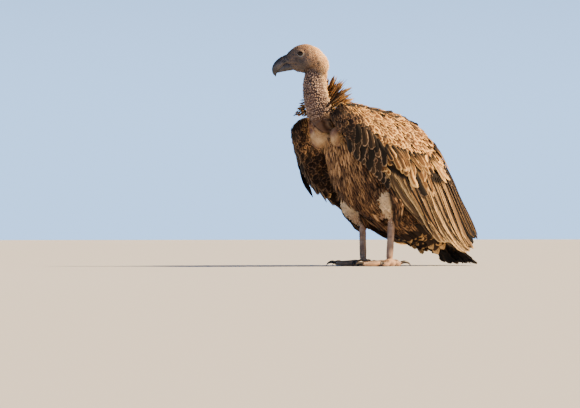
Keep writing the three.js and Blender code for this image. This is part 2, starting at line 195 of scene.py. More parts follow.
class Spline:
    """A smooth path through points, read by its share of length."""

    STEPS = 60

    def __init__(self, points: Sequence) -> None:
        """Samples the path once.

        Args:
            points: the points that the path passes, in millimetres.
        """
        p = np.asarray(points, float)
        p = np.vstack([2 * p[0] - p[1], p, 2 * p[-1] - p[-2]])
        gap = np.sqrt(np.linalg.norm(np.diff(p, axis=0), axis=1))
        s = np.linspace(0, 1, self.STEPS, endpoint=False)[:, None]
        rows = []
        for i in range(1, len(p) - 2):
            before, here, after = gap[i - 1 : i + 2]
            a, b, c, d = p[i - 1 : i + 3]
            leave = ((b - a) / before - (c - a) / (before + here) + (c - b) / here) * here
            arrive = ((c - b) / here - (d - b) / (here + after) + (d - c) / after) * here
            square = (3 * (c - b) - 2 * leave - arrive) * s**2
            rows.append(b + leave * s + square + (2 * (b - c) + leave + arrive) * s**3)
        self.samples = np.vstack([*rows, p[-2][None]])
        run = np.cumsum(np.linalg.norm(np.diff(self.samples, axis=0), axis=1))
        self.length = float(run[-1])
        self.share = np.concatenate([[0], run]) / self.length
        self.slopes = unit(np.gradient(self.samples, self.share, axis=0))

    def point(self, t: Array) -> Array:
        """Finds points of the path, which runs straight on past its ends.

        Args:
            t: shares of the length.

        Returns:
            The points.
        """
        inside = np.stack([np.interp(t, self.share, self.samples[:, k]) for k in range(3)], -1)
        over = (np.asarray(t) - np.clip(t, 0, 1)) * self.length
        return inside + self.tangent(t) * over[..., None]

    def tangent(self, t: Array) -> Array:
        """Unit directions at shares t of the length."""
        return unit(np.stack([np.interp(t, self.share, self.slopes[:, k]) for k in range(3)], -1))


@dataclass(frozen=True)
class Tube:
    """A closed tube of changing oval section along a smooth path, in millimetres.

    side is the section's radius along hint, up and down its radii at right angles to it, and
    curl_up and curl_down pull those edges back against hint. blunt squares the two ends.
    """

    path: tuple
    hint: tuple
    side: Keys
    up: Keys
    down: Keys = ()
    curl_up: Keys = FLAT
    curl_down: Keys = FLAT
    blunt: tuple = (2.0, 2.0)

    @cached_property
    def spline(self) -> Spline:
        """The tube's middle line."""
        return Spline(self.path)

    def surface(
        self, t: Array, around: Array, inset: float = 0.0, open_end: bool = False
    ) -> Array:
        """Points on the tube, moved in by inset.

        Args:
            t: share along the tube, 0 to 1, or more where the end is open.
            around: angle round the section, 0 on hint's side and a quarter turn at its up side.
            inset: how far inside the tube's own surface, in millimetres.
            open_end: leaves the far end unrounded and goes straight on past it.

        Returns:
            An array of points in millimetres.
        """
        t, around = np.broadcast_arrays(np.asarray(t, float), np.asarray(around, float))
        held = np.clip(t, 0, 1)
        t = t if open_end else held
        polar_cos = 1 - 2 * held
        polar_sin = np.sqrt(np.maximum(0, 1 - polar_cos**2))
        along = self.spline.tangent(held)
        toward = np.array(self.hint, float)
        out = unit(toward - along * (along @ toward)[..., None])
        rise = unit(np.cross(out, along))
        blunt = np.where(held < 0.5, self.blunt[0], self.blunt[1])
        cap = np.where(polar_sin < 1e-6, 0, polar_sin ** (1 / blunt))
        if open_end:
            cap = np.where(held > 0.5, 1, cap)
        c, s = np.cos(around), np.sin(around)
        high = np.where(s > 0, smooth_keys(self.up, held), smooth_keys(self.down or self.up, held))
        curl = np.where(s > 0, smooth_keys(self.curl_up, held), smooth_keys(self.curl_down, held))
        wide = np.maximum(smooth_keys(self.side, held) - inset, 1.2)
        high = np.maximum(high - inset, 1.2)
        shorten = polar_cos * inset
        if open_end:
            shorten = np.where(held > 0.5, 0, shorten)
        return (
            self.spline.point(t)
            + along * shorten[..., None]
            + out * (cap * (c * wide - curl * s * s))[..., None]
            + rise * (cap * s * high)[..., None]
        )


HEAD = Tube(
    path=head_line((-31, -43), (-19, -16), (2, -2), (30, 0), (62, -9)),
    hint=tuple(-LEFTWARD),
    side=((0, 20), (0.25, 29), (0.45, 31), (0.62, 28), (0.8, 20), (1, 14)),
    up=((0, 22), (0.15, 28), (0.3, 31), (0.47, 35.8), (0.66, 37.5), (0.82, 30), (1, 23)),
    down=((0, 20), (0.12, 19), (0.28, 22), (0.47, 33.5), (0.72, 36.5), (0.88, 31.5), (1, 19)),
    blunt=(2, 4),
)
BILL_UPPER = Tube(
    path=head_line((46, -4), (64, -8), (76, -14.5), (85, -23), (89, -32.5), (87.8, -45.5)),
    hint=tuple(-LEFTWARD),
    side=((0, 13.5), (0.4, 11.5), (0.7, 6.5), (1, 2)),
    up=((0, 17), (0.12, 19.5), (0.22, 17.6), (0.34, 15.6), (0.48, 14), (0.67, 11.5), (0.83, 8), (1, 2.2)),
    down=((0, 9), (0.28, 9), (0.48, 9.5), (0.65, 12), (0.8, 8.5), (0.91, 4.5), (1, 2)),
    blunt=(4, 1.4),
)
BILL_LOWER = Tube(
    path=head_line((42, -21), (58, -22.5), (70, -27.5), (84, -35.5)),
    hint=tuple(-LEFTWARD),
    side=((0, 12.5), (0.5, 9.5), (0.85, 5), (1, 2)),
    up=((0, 9), (0.4, 10.5), (0.7, 7), (1, 1.5)),
    down=((0, 10), (0.4, 8.3), (0.7, 5.5), (1, 1.5)),
    blunt=(3, 1.5),
)
NECK = Tube(
    path=(
        *head_line((-12, -8)),
        *((0, y, z) for y, z in ((-192, 472), (-189.5, 440), (-179, 410), (-165, 378), (-150, 345))),
    ),
    hint=(1, 0, 0),
    side=((0, 25), (0.3, 28.5), (0.47, 30.5), (0.62, 34), (0.8, 39), (1, 42)),
    up=((0, 40), (0.15, 38.5), (0.3, 31), (0.47, 31), (0.62, 35), (0.8, 41), (1, 44)),
    down=((0, 22), (0.15, 27), (0.3, 30.5), (0.47, 32), (0.62, 35), (0.8, 36), (1, 36)),
    blunt=(3, 3),
)
TRUNK = Tube(
    path=tuple(
        (0, y, z)
        for y, z in ((-146, 362), (-88, 318), (-32, 270), (34, 212), (100, 154), (160, 102), (210, 58))
    ),
    hint=(1, 0, 0),
    side=((0, 58), (0.15, 86), (0.38, 106), (0.6, 98), (0.8, 74), (1, 46)),
    up=((0, 60), (0.2, 116), (0.38, 138), (0.56, 136), (0.78, 98), (1, 36)),
    down=((0, 60), (0.2, 100), (0.35, 118), (0.5, 113), (0.65, 97), (0.83, 70), (0.92, 56), (1, 42)),
    blunt=(2.4, 2.4),
)
CROP_PADS = (((32, -150, 334), (20, 19, 27)), ((-28, -157, 343), (30, 27, 43)))
CROP_REAR = -135
THIGH_TOP = 178

WING_LINE = (
    *((90, -192, 394), (112, -134, 364), (121, -67, 328), (120, -6, 296), (112, 57, 252)),
    *((98, 130, 190), (84, 180, 144), (62, 234, 98), (46, 284, 54)),
)
WRIST_DROP = {Side.LEFT: 0, Side.RIGHT: 30}
SPREAD = {Side.LEFT: 1, Side.RIGHT: 1.05}
WING_THICK = ((0, 24), (0.2, 26), (0.5, 20), (0.8, 12), (1, 6))
UPPER_REACH = (
    *((0, 74), (0.12, 80), (0.25, 101), (0.37, 118), (0.5, 131), (0.66, 111)),
    *((0.78, 86), (0.9, 67), (1, 38)),
)
LOWER_REACH = {
    Side.LEFT: (
        *((0, 34), (0.14, 58), (0.28, 78), (0.44, 100)),
        *((0.58, 104), (0.72, 100), (0.84, 76), (1, 34)),
    ),
    Side.RIGHT: (
        *((0, 40), (0.14, 84), (0.2, 100), (0.28, 108), (0.44, 114)),
        *((0.6, 112), (0.74, 94), (0.86, 64), (1, 34)),
    ),
}
UPPER_CURL = ((0, 6), (0.3, 34), (0.55, 46), (0.8, 32), (1, 10))
LOWER_CURL = ((0, 4), (0.3, 24), (0.6, 18), (1, 4))


@dataclass(frozen=True)
class Leg:
    """The joints of one leg, from the hip inside the body to the middle of the foot."""

    hip: tuple
    knee: tuple
    calf: tuple
    heel: tuple
    palm: tuple

    @property
    def line(self) -> tuple:
        """The joints in order."""
        return self.hip, self.knee, self.calf, self.heel, self.palm


@dataclass(frozen=True)
class Toe:
    """One toe: its heading outwards from straight ahead, in degrees, its length and its claw's."""

    heading: float
    length: float
    claw: float


LEGS = {
    Side.LEFT: Leg((68, -26, 222), (74, -14, 174), (66, 4, 144), (54, 12, 114), (52, 6, 16)),
    Side.RIGHT: Leg((-68, -30, 206), (-74, -26, 160), (-66, -16, 128), (-55, -4, 98), (-52, -4, 16)),
}
PALM_HEIGHT = 15.0
TOE_RADIUS = 8.5
TOE_CENTRE = 6.6
TOES = {
    **{"middle": Toe(3, 88, 25), "inner": Toe(-34, 56, 27)},
    **{"outer": Toe(38, 60, 22), "hind": Toe(168, 34, 26)},
}


def wing_tube(side: Side) -> Tube:
    """Makes the form of a folded wing.

    Args:
        side: the wing's side.

    Returns:
        A flat tube from its wrist at t 0 to its rear end at t 1.
    """
    sign, last = side.value, len(WING_LINE) - 1
    path = tuple(
        (sign * x * SPREAD[side], y, z - WRIST_DROP[side] * min(1, 1.6 * (1 - i / last)))
        for i, (x, y, z) in enumerate(WING_LINE)
    )
    upper, lower = (UPPER_REACH, UPPER_CURL), (LOWER_REACH[side], LOWER_CURL)
    (up, curl_up), (down, curl_down) = (upper, lower) if side is Side.LEFT else (lower, upper)
    hint = (sign, 0.15, 0.15)
    return Tube(path, hint, WING_THICK, up, down, curl_up, curl_down)


def thigh_tube(side: Side) -> Tube:
    """The feathered upper leg, from the hip to the heel joint."""
    return Tube(
        path=LEGS[side].line[:4],
        hint=(side.value, 0, 0),
        side=((0, 30), (0.35, 32), (0.7, 22), (1, 11)),
        up=((0, 36), (0.35, 34), (0.7, 25), (1, 12)),
    )


def shank_tube(side: Side) -> Tube:
    """The bare shank, from above the heel joint to the palm."""
    heel, palm = np.array(LEGS[side].heel, float), np.array(LEGS[side].palm, float)
    return Tube(
        path=(tuple(heel + [0, 0, 12]), tuple((heel + palm) / 2), tuple(palm)),
        hint=(side.value, 0, 0),
        side=((0, 11), (0.3, 8.5), (0.75, 8.5), (1, 11)),
        up=((0, 13), (0.3, 10), (0.75, 10), (1, 12)),
        blunt=(2, 2.5),
    )


def toe_frame(side: Side, name: str) -> tuple[Callable[[float, float], tuple], tuple]:
    """The places along a toe, and the direction across it.

    Args:
        side: the foot's side.
        name: the toe's name.

    Returns:
        A function from distance and height to a point, and the unit vector across the toe.
    """
    heading = math.radians(TOES[name].heading)
    line = (side.value * math.sin(heading), -math.cos(heading))
    palm = LEGS[side].palm

    def at(distance: float, height: float) -> tuple:
        """The point so far along the toe and so high."""
        return (palm[0] + line[0] * distance, palm[1] + line[1] * distance, height)

    return at, (-line[1], line[0], 0)


def toe_tube(side: Side, name: str) -> Tube:
    """Makes the form of a toe that lies on the floor.

    Args:
        side: the foot's side.
        name: the toe's name.

    Returns:
        A tube from the palm to the root of the claw.
    """
    at, across = toe_frame(side, name)
    length = TOES[name].length
    return Tube(
        path=(at(6, 11), at(20, TOE_CENTRE + 2), at(length * 0.6, TOE_CENTRE), at(length, TOE_CENTRE)),
        hint=across,
        side=((0, TOE_RADIUS), (0.5, TOE_RADIUS), (1, TOE_RADIUS * 0.75)),
        up=((0, TOE_RADIUS), (0.5, TOE_RADIUS * 0.95), (1, TOE_RADIUS * 0.7)),
    )


def claw_tube(side: Side, name: str) -> Tube:
    """Makes the form of a claw, which curves down to the floor.

    Args:
        side: the foot's side.
        name: the toe's name.

    Returns:
        A tube from inside the toe's end to the claw's tip.
    """
    at, across = toe_frame(side, name)
    length, claw = TOES[name].length, TOES[name].claw
    end = length + claw
    return Tube(
        path=(at(length - 5, 8.5), at(length + claw * 0.35, 11), at(length + claw * 0.75, 8), at(end, 1.6)),
        hint=across,
        side=((0, 4.2), (0.5, 3), (1, 0.9)),
        up=((0, 5), (0.5, 3.6), (1, 1)),
        blunt=(2, 1.4),
    )


# ---------------------------------------------------------------- meshes


class Stance:
    """Where the bird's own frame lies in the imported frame."""

    def __init__(self) -> None:
        """Reads the place of the feet."""
        left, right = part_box("foot_left"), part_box("foot_right")
        middle = (left[0].x + right[1].x) / 2
        palm = LEGS[Side.LEFT].palm
        self.shift = np.array([middle, (left[0].y + left[1].y) / 2 - palm[1] / 1000, 0.0])

    def to_row(self, points: Array) -> Array:
        """From the bird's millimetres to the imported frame's metres."""
        return np.asarray(points, float) / 1000 + self.shift

    def to_bird(self, points: Array) -> Array:
        """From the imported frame's metres to the bird's millimetres."""
        return (np.asarray(points, float) - self.shift) * 1000


def new_mesh(name: str, points: Array, faces: Sequence[Array]) -> Mesh:
    """Makes a smooth-shaded mesh.

    Args:
        name: the mesh's name.
        points: vertex places in metres.
        faces: one array of corner indices for each face size.

    Returns:
        The mesh.
    """
    mesh = bpy.data.meshes.new(name)
    faces = [np.asarray(f, np.int32) for f in faces if len(f)]
    sizes = np.concatenate([np.full(len(f), f.shape[1]) for f in faces])
    corners = np.concatenate([f.ravel() for f in faces])
    mesh.vertices.add(len(points))
    mesh.vertices.foreach_set("co", np.asarray(points, np.float32).ravel())
    mesh.loops.add(len(corners))
    mesh.loops.foreach_set("vertex_index", corners)
    mesh.polygons.add(len(sizes))
    mesh.polygons.foreach_set("loop_start", np.concatenate([[0], np.cumsum(sizes)[:-1]]))
    mesh.update(calc_edges=True)
    mesh.shade_smooth()
    return mesh


def shaped(name: str, operator: Callable, **settings: object) -> Mesh:
    """Makes a mesh with one of Blender's modelling operators.

    Args:
        name: the mesh's name.
        operator: the operator, which adds to an empty mesh.
        settings: the operator's settings.

    Returns:
        The mesh.
    """
    work = bmesh.new()
    operator(work, **settings)
    mesh = bpy.data.meshes.new(name)
    work.to_mesh(mesh)
    work.free()
    return mesh


def new_object(name: str, mesh: Mesh) -> Thing:
    """Puts a mesh in the scene as an object at the origin.

    Args:
        name: the object's name.
        mesh: its mesh.

    Returns:
        The object.
    """
    made = bpy.data.objects.new(name, mesh)
    bpy.context.scene.collection.objects.link(made)
    return made


def triples(items: bpy.types.bpy_prop_collection, slot: str) -> Array:
    """Reads three numbers from each of a mesh's items.

    Args:
        items: the vertices or normals.
        slot: the name that they keep the numbers under.

    Returns:
        One row of three numbers for each item.
    """
    flat = np.empty(len(items) * 3, np.float32)
    items.foreach_get(slot, flat)
    return flat.reshape(-1, 3).astype(float)


def places_of(mesh: Mesh) -> Array:
    """A mesh's vertex places."""
    return triples(mesh.vertices, "co")


def normals_of(mesh: Mesh) -> Array:
    """A mesh's vertex normals."""
    return triples(mesh.vertex_normals, "vector")


def set_places(mesh: Mesh, points: Array) -> None:
    """Moves a mesh's vertices."""
    mesh.vertices.foreach_set("co", np.asarray(points, np.float32).ravel())
    mesh.update()


def set_value(mesh: Mesh, name: str, values: Array) -> None:
    """Writes a number or a vector for each vertex.

    Args:
        mesh: the mesh.
        name: the value's name, which finishes read it by.
        values: one number or three for each vertex.
    """
    values = np.asarray(values, np.float32)
    kind, slot = ("FLOAT", "value") if values.ndim == 1 else ("FLOAT_VECTOR", "vector")
    attribute = mesh.attributes.get(name) or mesh.attributes.new(name, kind, "POINT")
    attribute.data.foreach_set(slot, values.ravel())


def set_uv(mesh: Mesh, name: str, values: Array) -> None:
    """Writes a UV map from one pair of numbers for each vertex.

    Args:
        mesh: the mesh.
        name: the map's name.
        values: one pair for each vertex.
    """
    corner = np.empty(len(mesh.loops), np.int32)
    mesh.loops.foreach_get("vertex_index", corner)
    layer = mesh.uv_layers.get(name) or mesh.uv_layers.new(name=name)
    layer.data.foreach_set("uv", np.asarray(values, np.float32)[corner].ravel())


def evaluated(obj: Thing) -> Mesh:
    """A plain mesh of an object with its modifiers."""
    graph = bpy.context.evaluated_depsgraph_get()
    return bpy.data.meshes.new_from_object(obj.evaluated_get(graph), depsgraph=graph)


def bake_modifiers(obj: Thing) -> None:
    """Turns an object's modifiers into its mesh.

    Args:
        obj: the object, which is changed.
    """
    mesh = evaluated(obj)
    obj.modifiers.clear()
    old, obj.data = obj.data, mesh
    bpy.data.meshes.remove(old)


def finish_piece(obj: Thing, slot: str, *nodes: str) -> Thing:
    """Lets a piece ride with the bird and hides the solids that it stands for.

    Args:
        obj: the piece.
        slot: not used.
        nodes: the solids that it stands for.

    Returns:
        The piece.
    """
    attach(obj, "root")
    if nodes:
        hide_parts(*nodes)
    log.info("%s: %d faces", obj.name, len(obj.data.polygons))
    return obj


def ball_faces(rings: int, sides: int) -> list[Array]:
    """Faces of a ball whose vertices are a first pole, its rings in order and a last pole.

    Args:
        rings: how many rings there are between the poles.
        sides: how many vertices each ring has.

    Returns:
        The quads of the sides, and the triangles at the poles.
    """
    j = np.arange(sides)
    turn = (j + 1) % sides
    rows = np.arange(rings - 1)[:, None] * sides + 1
    corners = (rows + j, rows + turn, rows + sides + turn, rows + sides + j)
    quads = np.stack(corners, -1).reshape(-1, 4)
    first = np.stack([np.zeros(sides, int), 1 + turn, 1 + j], -1)
    base = 1 + (rings - 1) * sides
    last = np.stack([np.full(sides, base + sides), base + j, base + turn], -1)
    return [quads, np.vstack([first, last])]


@dataclass
class TubeMesh:
    """A tube made a closed ball-like mesh, which keeps each vertex's place on the tube."""

    tube: Tube
    rings: int
    sides: int
    inset: float = 0.0
    t: Array = field(init=False)
    around: Array = field(init=False)
    points: Array = field(init=False)

    def __post_init__(self) -> None:
        """Lays out the vertices, in millimetres."""
        polar = np.linspace(0, math.pi, self.rings + 2)
        turn = np.linspace(0, TAU, self.sides, endpoint=False)
        t, around = np.meshgrid((1 - np.cos(polar[1:-1])) / 2, turn, indexing="ij")
        self.t = np.concatenate([[0], t.ravel(), [1]])
        self.around = np.concatenate([[0], around.ravel(), [0]])
        self.points = self.tube.surface(self.t, self.around, self.inset)

    def build(self, name: str, stance: Stance) -> Thing:
        """Makes the object, with its faces turned outwards.

        Args:
            name: the object's name.
            stance: the bird's place in the frame.

        Returns:
            The object.
        """
        faces = ball_faces(self.rings, self.sides)
        mesh = new_mesh(name, stance.to_row(self.points), faces)
        if signed_volume(mesh) < 0:
            mesh.flip_normals()
        return new_object(name, mesh)


def signed_volume(mesh: Mesh) -> float:
    """Measures a closed mesh.

    Args:
        mesh: the mesh.

    Returns:
        Its volume, negative where its faces point inwards.
    """
    work = bmesh.new()
    work.from_mesh(mesh)
    volume = work.calc_volume(signed=True)
    work.free()
    return volume


# ---------------------------------------------------------------- nodes


def add(
    tree: bpy.types.NodeTree, kind: str, settings: dict | None = None, inputs: dict | None = None
) -> bpy.types.Node:
    """Adds a node, with its settings, and fills its inputs or links them to other nodes' outputs.

    Args:
        tree: the node tree.
        kind: the node's type name.
        settings: its properties by name.
        inputs: values or output sockets, by the input's name or number.

    Returns:
        The node.
    """
    made = tree.nodes.new(kind)
    for name, value in (settings or {}).items():
        setattr(made, name, value)
    for key, value in (inputs or {}).items():
        if isinstance(value, Socket):
            tree.links.new(value, made.inputs[key])
        else:
            made.inputs[key].default_value = value
    return made


def linear(colour: str) -> tuple:
    """An sRGB hex colour as linear RGBA."""
    parts = [int(colour[i : i + 2], 16) / 255 for i in (1, 3, 5)]
    return (*(c / 12.92 if c <= 0.04045 else ((c + 0.055) / 1.055) ** 2.4 for c in parts), 1.0)


class Surface:
    """A material under construction, whose methods return output sockets."""

    def __init__(self, name: str, roughness: float, specular: float = 0.5) -> None:
        """Starts a material with a plain shader.

        Args:
            name: the material's name.
            roughness: the shader's roughness.
            specular: the shader's specular level.
        """
        self.material = bpy.data.materials.new(name)
        self.material.use_nodes = True
        self.tree = self.material.node_tree
        self.shader = self.tree.nodes["Principled BSDF"]
        self.shader.inputs["Roughness"].default_value = roughness
        self.shader.inputs["Specular IOR Level"].default_value = specular

    def math(self, operation: str, *values: object, clamp: bool = False) -> Socket:
        """A sum, product or other operation on numbers or sockets."""
        settings = {"operation": operation, "use_clamp": clamp}
        return add(self.tree, "ShaderNodeMath", settings, dict(enumerate(values))).outputs[0]

    def value(self, name: str) -> Socket:
        """The mesh's own number of that name."""
        return add(self.tree, "ShaderNodeAttribute", {"attribute_name": name}).outputs["Fac"]

    def ramp(self, x: object, low: float, high: float) -> Socket:
        """Turns a number into a smooth rise from 0 to 1.

        Args:
            x: the number.
            low: where it is 0.
            high: where it is 1.

        Returns:
            The rise.
        """
        settings = {"interpolation_type": "SMOOTHSTEP"}
        inputs = {"Value": x, "From Min": low, "From Max": high}
        return add(self.tree, "ShaderNodeMapRange", settings, inputs).outputs[0]

    def mix(self, factor: object, a: object, b: object, blend: str = "MIX") -> Socket:
        """Mixes two colours, each a socket or a hex value.

        Args:
            factor: the share of b.
            a: the first colour.
            b: the second colour.
            blend: the mix's kind.

        Returns:
            The colour.
        """
        a, b = (linear(c) if isinstance(c, str) else c for c in (a, b))
        settings = {"data_type": "RGBA", "blend_type": blend}
        return add(self.tree, "ShaderNodeMix", settings, {0: factor, 6: a, 7: b}).outputs[2]

    def noise(
        self, millimetres: float, detail: float = 3.0, stretch: tuple = (1, 1, 1)
    ) -> Socket:
        """Makes noise on the object's own coordinates.

        Args:
            millimetres: the size of its patches.
            detail: how many finer steps it has.
            stretch: how much closer its patches lie along each axis.

        Returns:
            The noise, between 0 and 1.
        """
        where = add(self.tree, "ShaderNodeTexCoord").outputs["Object"]
        scaled = add(self.tree, "ShaderNodeMapping", {}, {"Vector": where, "Scale": stretch})
        inputs = {"Vector": scaled.outputs[0], "Scale": 500 / millimetres, "Detail": detail}
        return add(self.tree, "ShaderNodeTexNoise", {}, inputs).outputs["Fac"]

    def patches(
        self, millimetres: float, one: str, other: str, edge: float = 0.2, detail: float = 3.0
    ) -> Socket:
        """Makes soft patches of two colours.

        Args:
            millimetres: the size of the patches.
            one: the first colour, as a hex value.
            other: the second colour.
            edge: how far the change reaches to either side of the noise's middle.
            detail: how ragged the edges are.

        Returns:
            The colour.
        """
        return self.mix(self.ramp(self.noise(millimetres, detail), 0.5 - edge, 0.5 + edge), one, other)

    def colour(self, socket: object) -> None:
        """Sets the base colour."""
        if isinstance(socket, str):
            self.shader.inputs["Base Color"].default_value = linear(socket)
        else:
            self.tree.links.new(socket, self.shader.inputs["Base Color"])

    def roughness(self, socket: Socket) -> None:
        """Links the roughness."""
        self.tree.links.new(socket, self.shader.inputs["Roughness"])

    def bump(self, height: Socket, millimetres: float) -> None:
        """Lets a height stand out of the surface.

        Args:
            height: the height, between 0 and 1.
            millimetres: how far 1 stands out.
        """
        inputs = {"Height": height, "Distance": millimetres / 1000}
        normal = add(self.tree, "ShaderNodeBump", {}, inputs).outputs[0]
        self.tree.links.new(normal, self.shader.inputs["Normal"])


# ---------------------------------------------------------------- feathers


@dataclass(frozen=True)
class Cut:
    """The shape of one kind of feather, with its barbs as one thin closed vane.

    outline is the half width along the length, rows and columns the places along and across where
    the vane bends, and thick its thickness, in millimetres. camber is how far its edges drop as a
    share of the half width, ragged how uneven they are, and wear how far the barbs at the tip are
    worn back, in millimetres.
    """

    outline: Keys
    rows: int = 6
    columns: tuple = (-1, 0, 1)
    thick: float = 0.6
    camber: float = 0.22
    ragged: float = 0.06
    wear: float = 0.0


WIDE = (-1, -0.62, -0.1, 0, 0.1, 0.62, 1)
SCALE = Cut(((0, 0.4), (0.3, 0.8), (0.65, 1), (0.88, 0.82), (1, 0.28)))
LANCE = Cut(((0, 0.35), (0.3, 0.9), (0.6, 1), (0.84, 0.62), (1, 0.06)), rows=7)
QUILL = Cut(
    ((0, 0.35), (0.12, 0.8), (0.5, 1), (0.85, 0.9), (0.95, 0.7), (1, 0.3)), 20, WIDE, 1.3, 0.14, 0.05, 4
)
PADDLE = Cut(
    ((0, 0.5), (0.25, 0.85), (0.6, 1), (0.85, 0.92), (0.96, 0.62), (1, 0.28)), 9, WIDE, 0.9, 0.3, 0.04, 1.5
)
SPIKE = Cut(((0, 0.7), (0.3, 1), (0.7, 0.8), (0.9, 0.4), (1, 0.08)), 10, WIDE, 1.0, 0.16, 0.05)
RECTRIX = Cut(
    ((0, 0.35), (0.12, 0.8), (0.5, 1), (0.85, 0.92), (0.95, 0.8), (1, 0.5)), 22, WIDE, 1.3, 0.14, 0.25, 15
)
SCUTE = Cut(((0, 0.8), (0.5, 1), (1, 0.8)), 4, (-1, -0.5, 0, 0.5, 1), 1.1, 0.5, 0.02)
PLUME = Cut(((0, 0.6), (0.35, 1), (0.7, 0.72), (0.9, 0.35), (1, 0.05)), rows=8, thick=0.7, ragged=0.14)


@dataclass
class Spines:
    """The lines that feathers follow, as arrays of feathers by rows by three numbers."""

    points: Array
    up: Array

    def along(self) -> Array:
        """Unit directions from root to tip."""
        return unit(np.gradient(self.points, axis=1))


def vane_faces(rows: int, columns: int) -> Array:
    """Faces of a thin closed vane: its upper grid of vertices, then the inner ones of its lower grid.

    Args:
        rows: the vertices along the vane.
        columns: the vertices across it.

    Returns:
        The quads of both sides, which share the vane's edge.
    """
    upper = np.arange(rows * columns).reshape(rows, columns)
    lower = upper.copy()
    lower[1:-1, 1:-1] = rows * columns + np.arange((rows - 2) * (columns - 2)).reshape(rows - 2, -1)
    over = (upper[:-1, :-1], upper[1:, :-1], upper[1:, 1:], upper[:-1, 1:])
    under = (lower[:-1, :-1], lower[:-1, 1:], lower[1:, 1:], lower[1:, :-1])
    return np.vstack([np.stack(corners, -1).reshape(-1, 4) for corners in (over, under)])


class Feathers:
    """Gathers the feathers of one piece and joins them into one mesh."""

    def __init__(self, name: str, seed: int) -> None:
        """Starts an empty piece.

        Args:
            name: the piece's name.
            seed: the fixed seed for its uneven edges and tints.
        """
        self.name = name
        self.random = np.random.default_rng(seed)
        self.points, self.quads, self.vane, self.bake = [], [], [], []
        self.values = {"tint": [], "shade": [], "span": []}
        self.count = 0

    def lay(
        self,
        spines: Spines,
        half_width: Array,
        cut: Cut,
        shade: Array,
        root: Array,
        roll: float | Array = 0.0,
    ) -> None:
        """Adds feathers of one kind.

        Args:
            spines: the lines that they follow, with the cut's number of rows.
            half_width: each feather's widest half width, in millimetres.
            cut: the feathers' shape.
            shade: from 0 for the finish's light kind to 1 for its dark kind.
            root: each root's place on the unwrap of the body, as pairs from 0 to 1.
            roll: the turn of each vane about its own shaft, in radians.
        """
        count, rows = spines.points.shape[:2]
        u = np.array(cut.columns, float)
        columns = len(u)
        v = np.linspace(0, 1, rows)
        along = spines.along()
        up = unit(spines.up - along * dot(spines.up, along)[..., None])
        across = np.cross(up, along)
        turn = np.broadcast_to(np.asarray(roll, float), (count,))[:, None, None]
        c, s = np.cos(turn), np.sin(turn)
        up, across = up * c + across * s, across * c - up * s
        half = np.asarray(half_width, float).reshape(-1, 1) * smooth_keys(cut.outline, v)
        uneven = 1 + cut.ragged * self.random.standard_normal((count, rows, 2))
        side = np.where(u < 0, uneven[..., :1], uneven[..., 1:])
        out = half[..., None] * u * side
        drop = -cut.camber * half[..., None] * u**2
        body = cut.thick / 2 * (1 - np.abs(u) ** 1.5) * np.minimum(1, 0.4 + half / half.max())[..., None]
        back = np.zeros((count, rows, columns))
        if cut.wear:
            back[:, -1] = cut.wear * self.random.random((count, columns))
            back[:, -2] = 0.5 * cut.wear * self.random.random((count, columns)) * (np.abs(u) > 0.3)
        flat = spines.points[:, :, None] + across[:, :, None] * out[..., None]
        flat = flat - along[:, :, None] * back[..., None]
        lift = up[:, :, None]
        top = flat + lift * (drop + body)[..., None]
        under = flat + lift * (drop - body)[..., None]
        points = np.concatenate([top.reshape(count, -1, 3), under[:, 1:-1, 1:-1].reshape(count, -1, 3)], 1)
        quads = vane_faces(rows, columns)
        grid = np.stack(np.meshgrid(v, u * 0.5 + 0.5, indexing="ij")[::-1], -1)
        vane = np.concatenate([grid.reshape(-1, 2), grid[1:-1, 1:-1].reshape(-1, 2)])
        size = points.shape[1]
        start = self.count + np.arange(count)[:, None, None] * size
        self.points.append(points.reshape(-1, 3))
        self.quads.append((quads[None] + start).reshape(-1, 4))
        self.vane.append(np.tile(vane, (count, 1)))
        self.bake.append((np.asarray(root)[:, None] + (vane - 0.5)[None] * PATCH).reshape(-1, 2))
        length = np.linalg.norm(np.diff(spines.points, axis=1), axis=-1).sum(1)
        tint = self.random.random(count)
        for name, each in (("tint", tint), ("shade", shade), ("span", length / 1000)):
            self.values[name].append(np.repeat(np.broadcast_to(each, (count,)), size))
        self.count += count * size

    def build(self, stance: Stance, material: Material) -> Thing:
        """Joins the feathers into one object.

        Args:
            stance: the bird's place in the frame.
            material: the feathers' finish.

        Returns:
            The object.
        """
        mesh = new_mesh(self.name, stance.to_row(np.vstack(self.points)), [np.vstack(self.quads)])
        set_uv(mesh, "OFBake", np.vstack(self.bake))
        set_uv(mesh, "Vane", np.vstack(self.vane))
        for name, values in self.values.items():
            set_value(mesh, name, np.concatenate(values))
        mesh.set_sharp_from_angle(angle=math.radians(75))
        mesh.materials.append(material)
        return new_object(self.name, mesh)


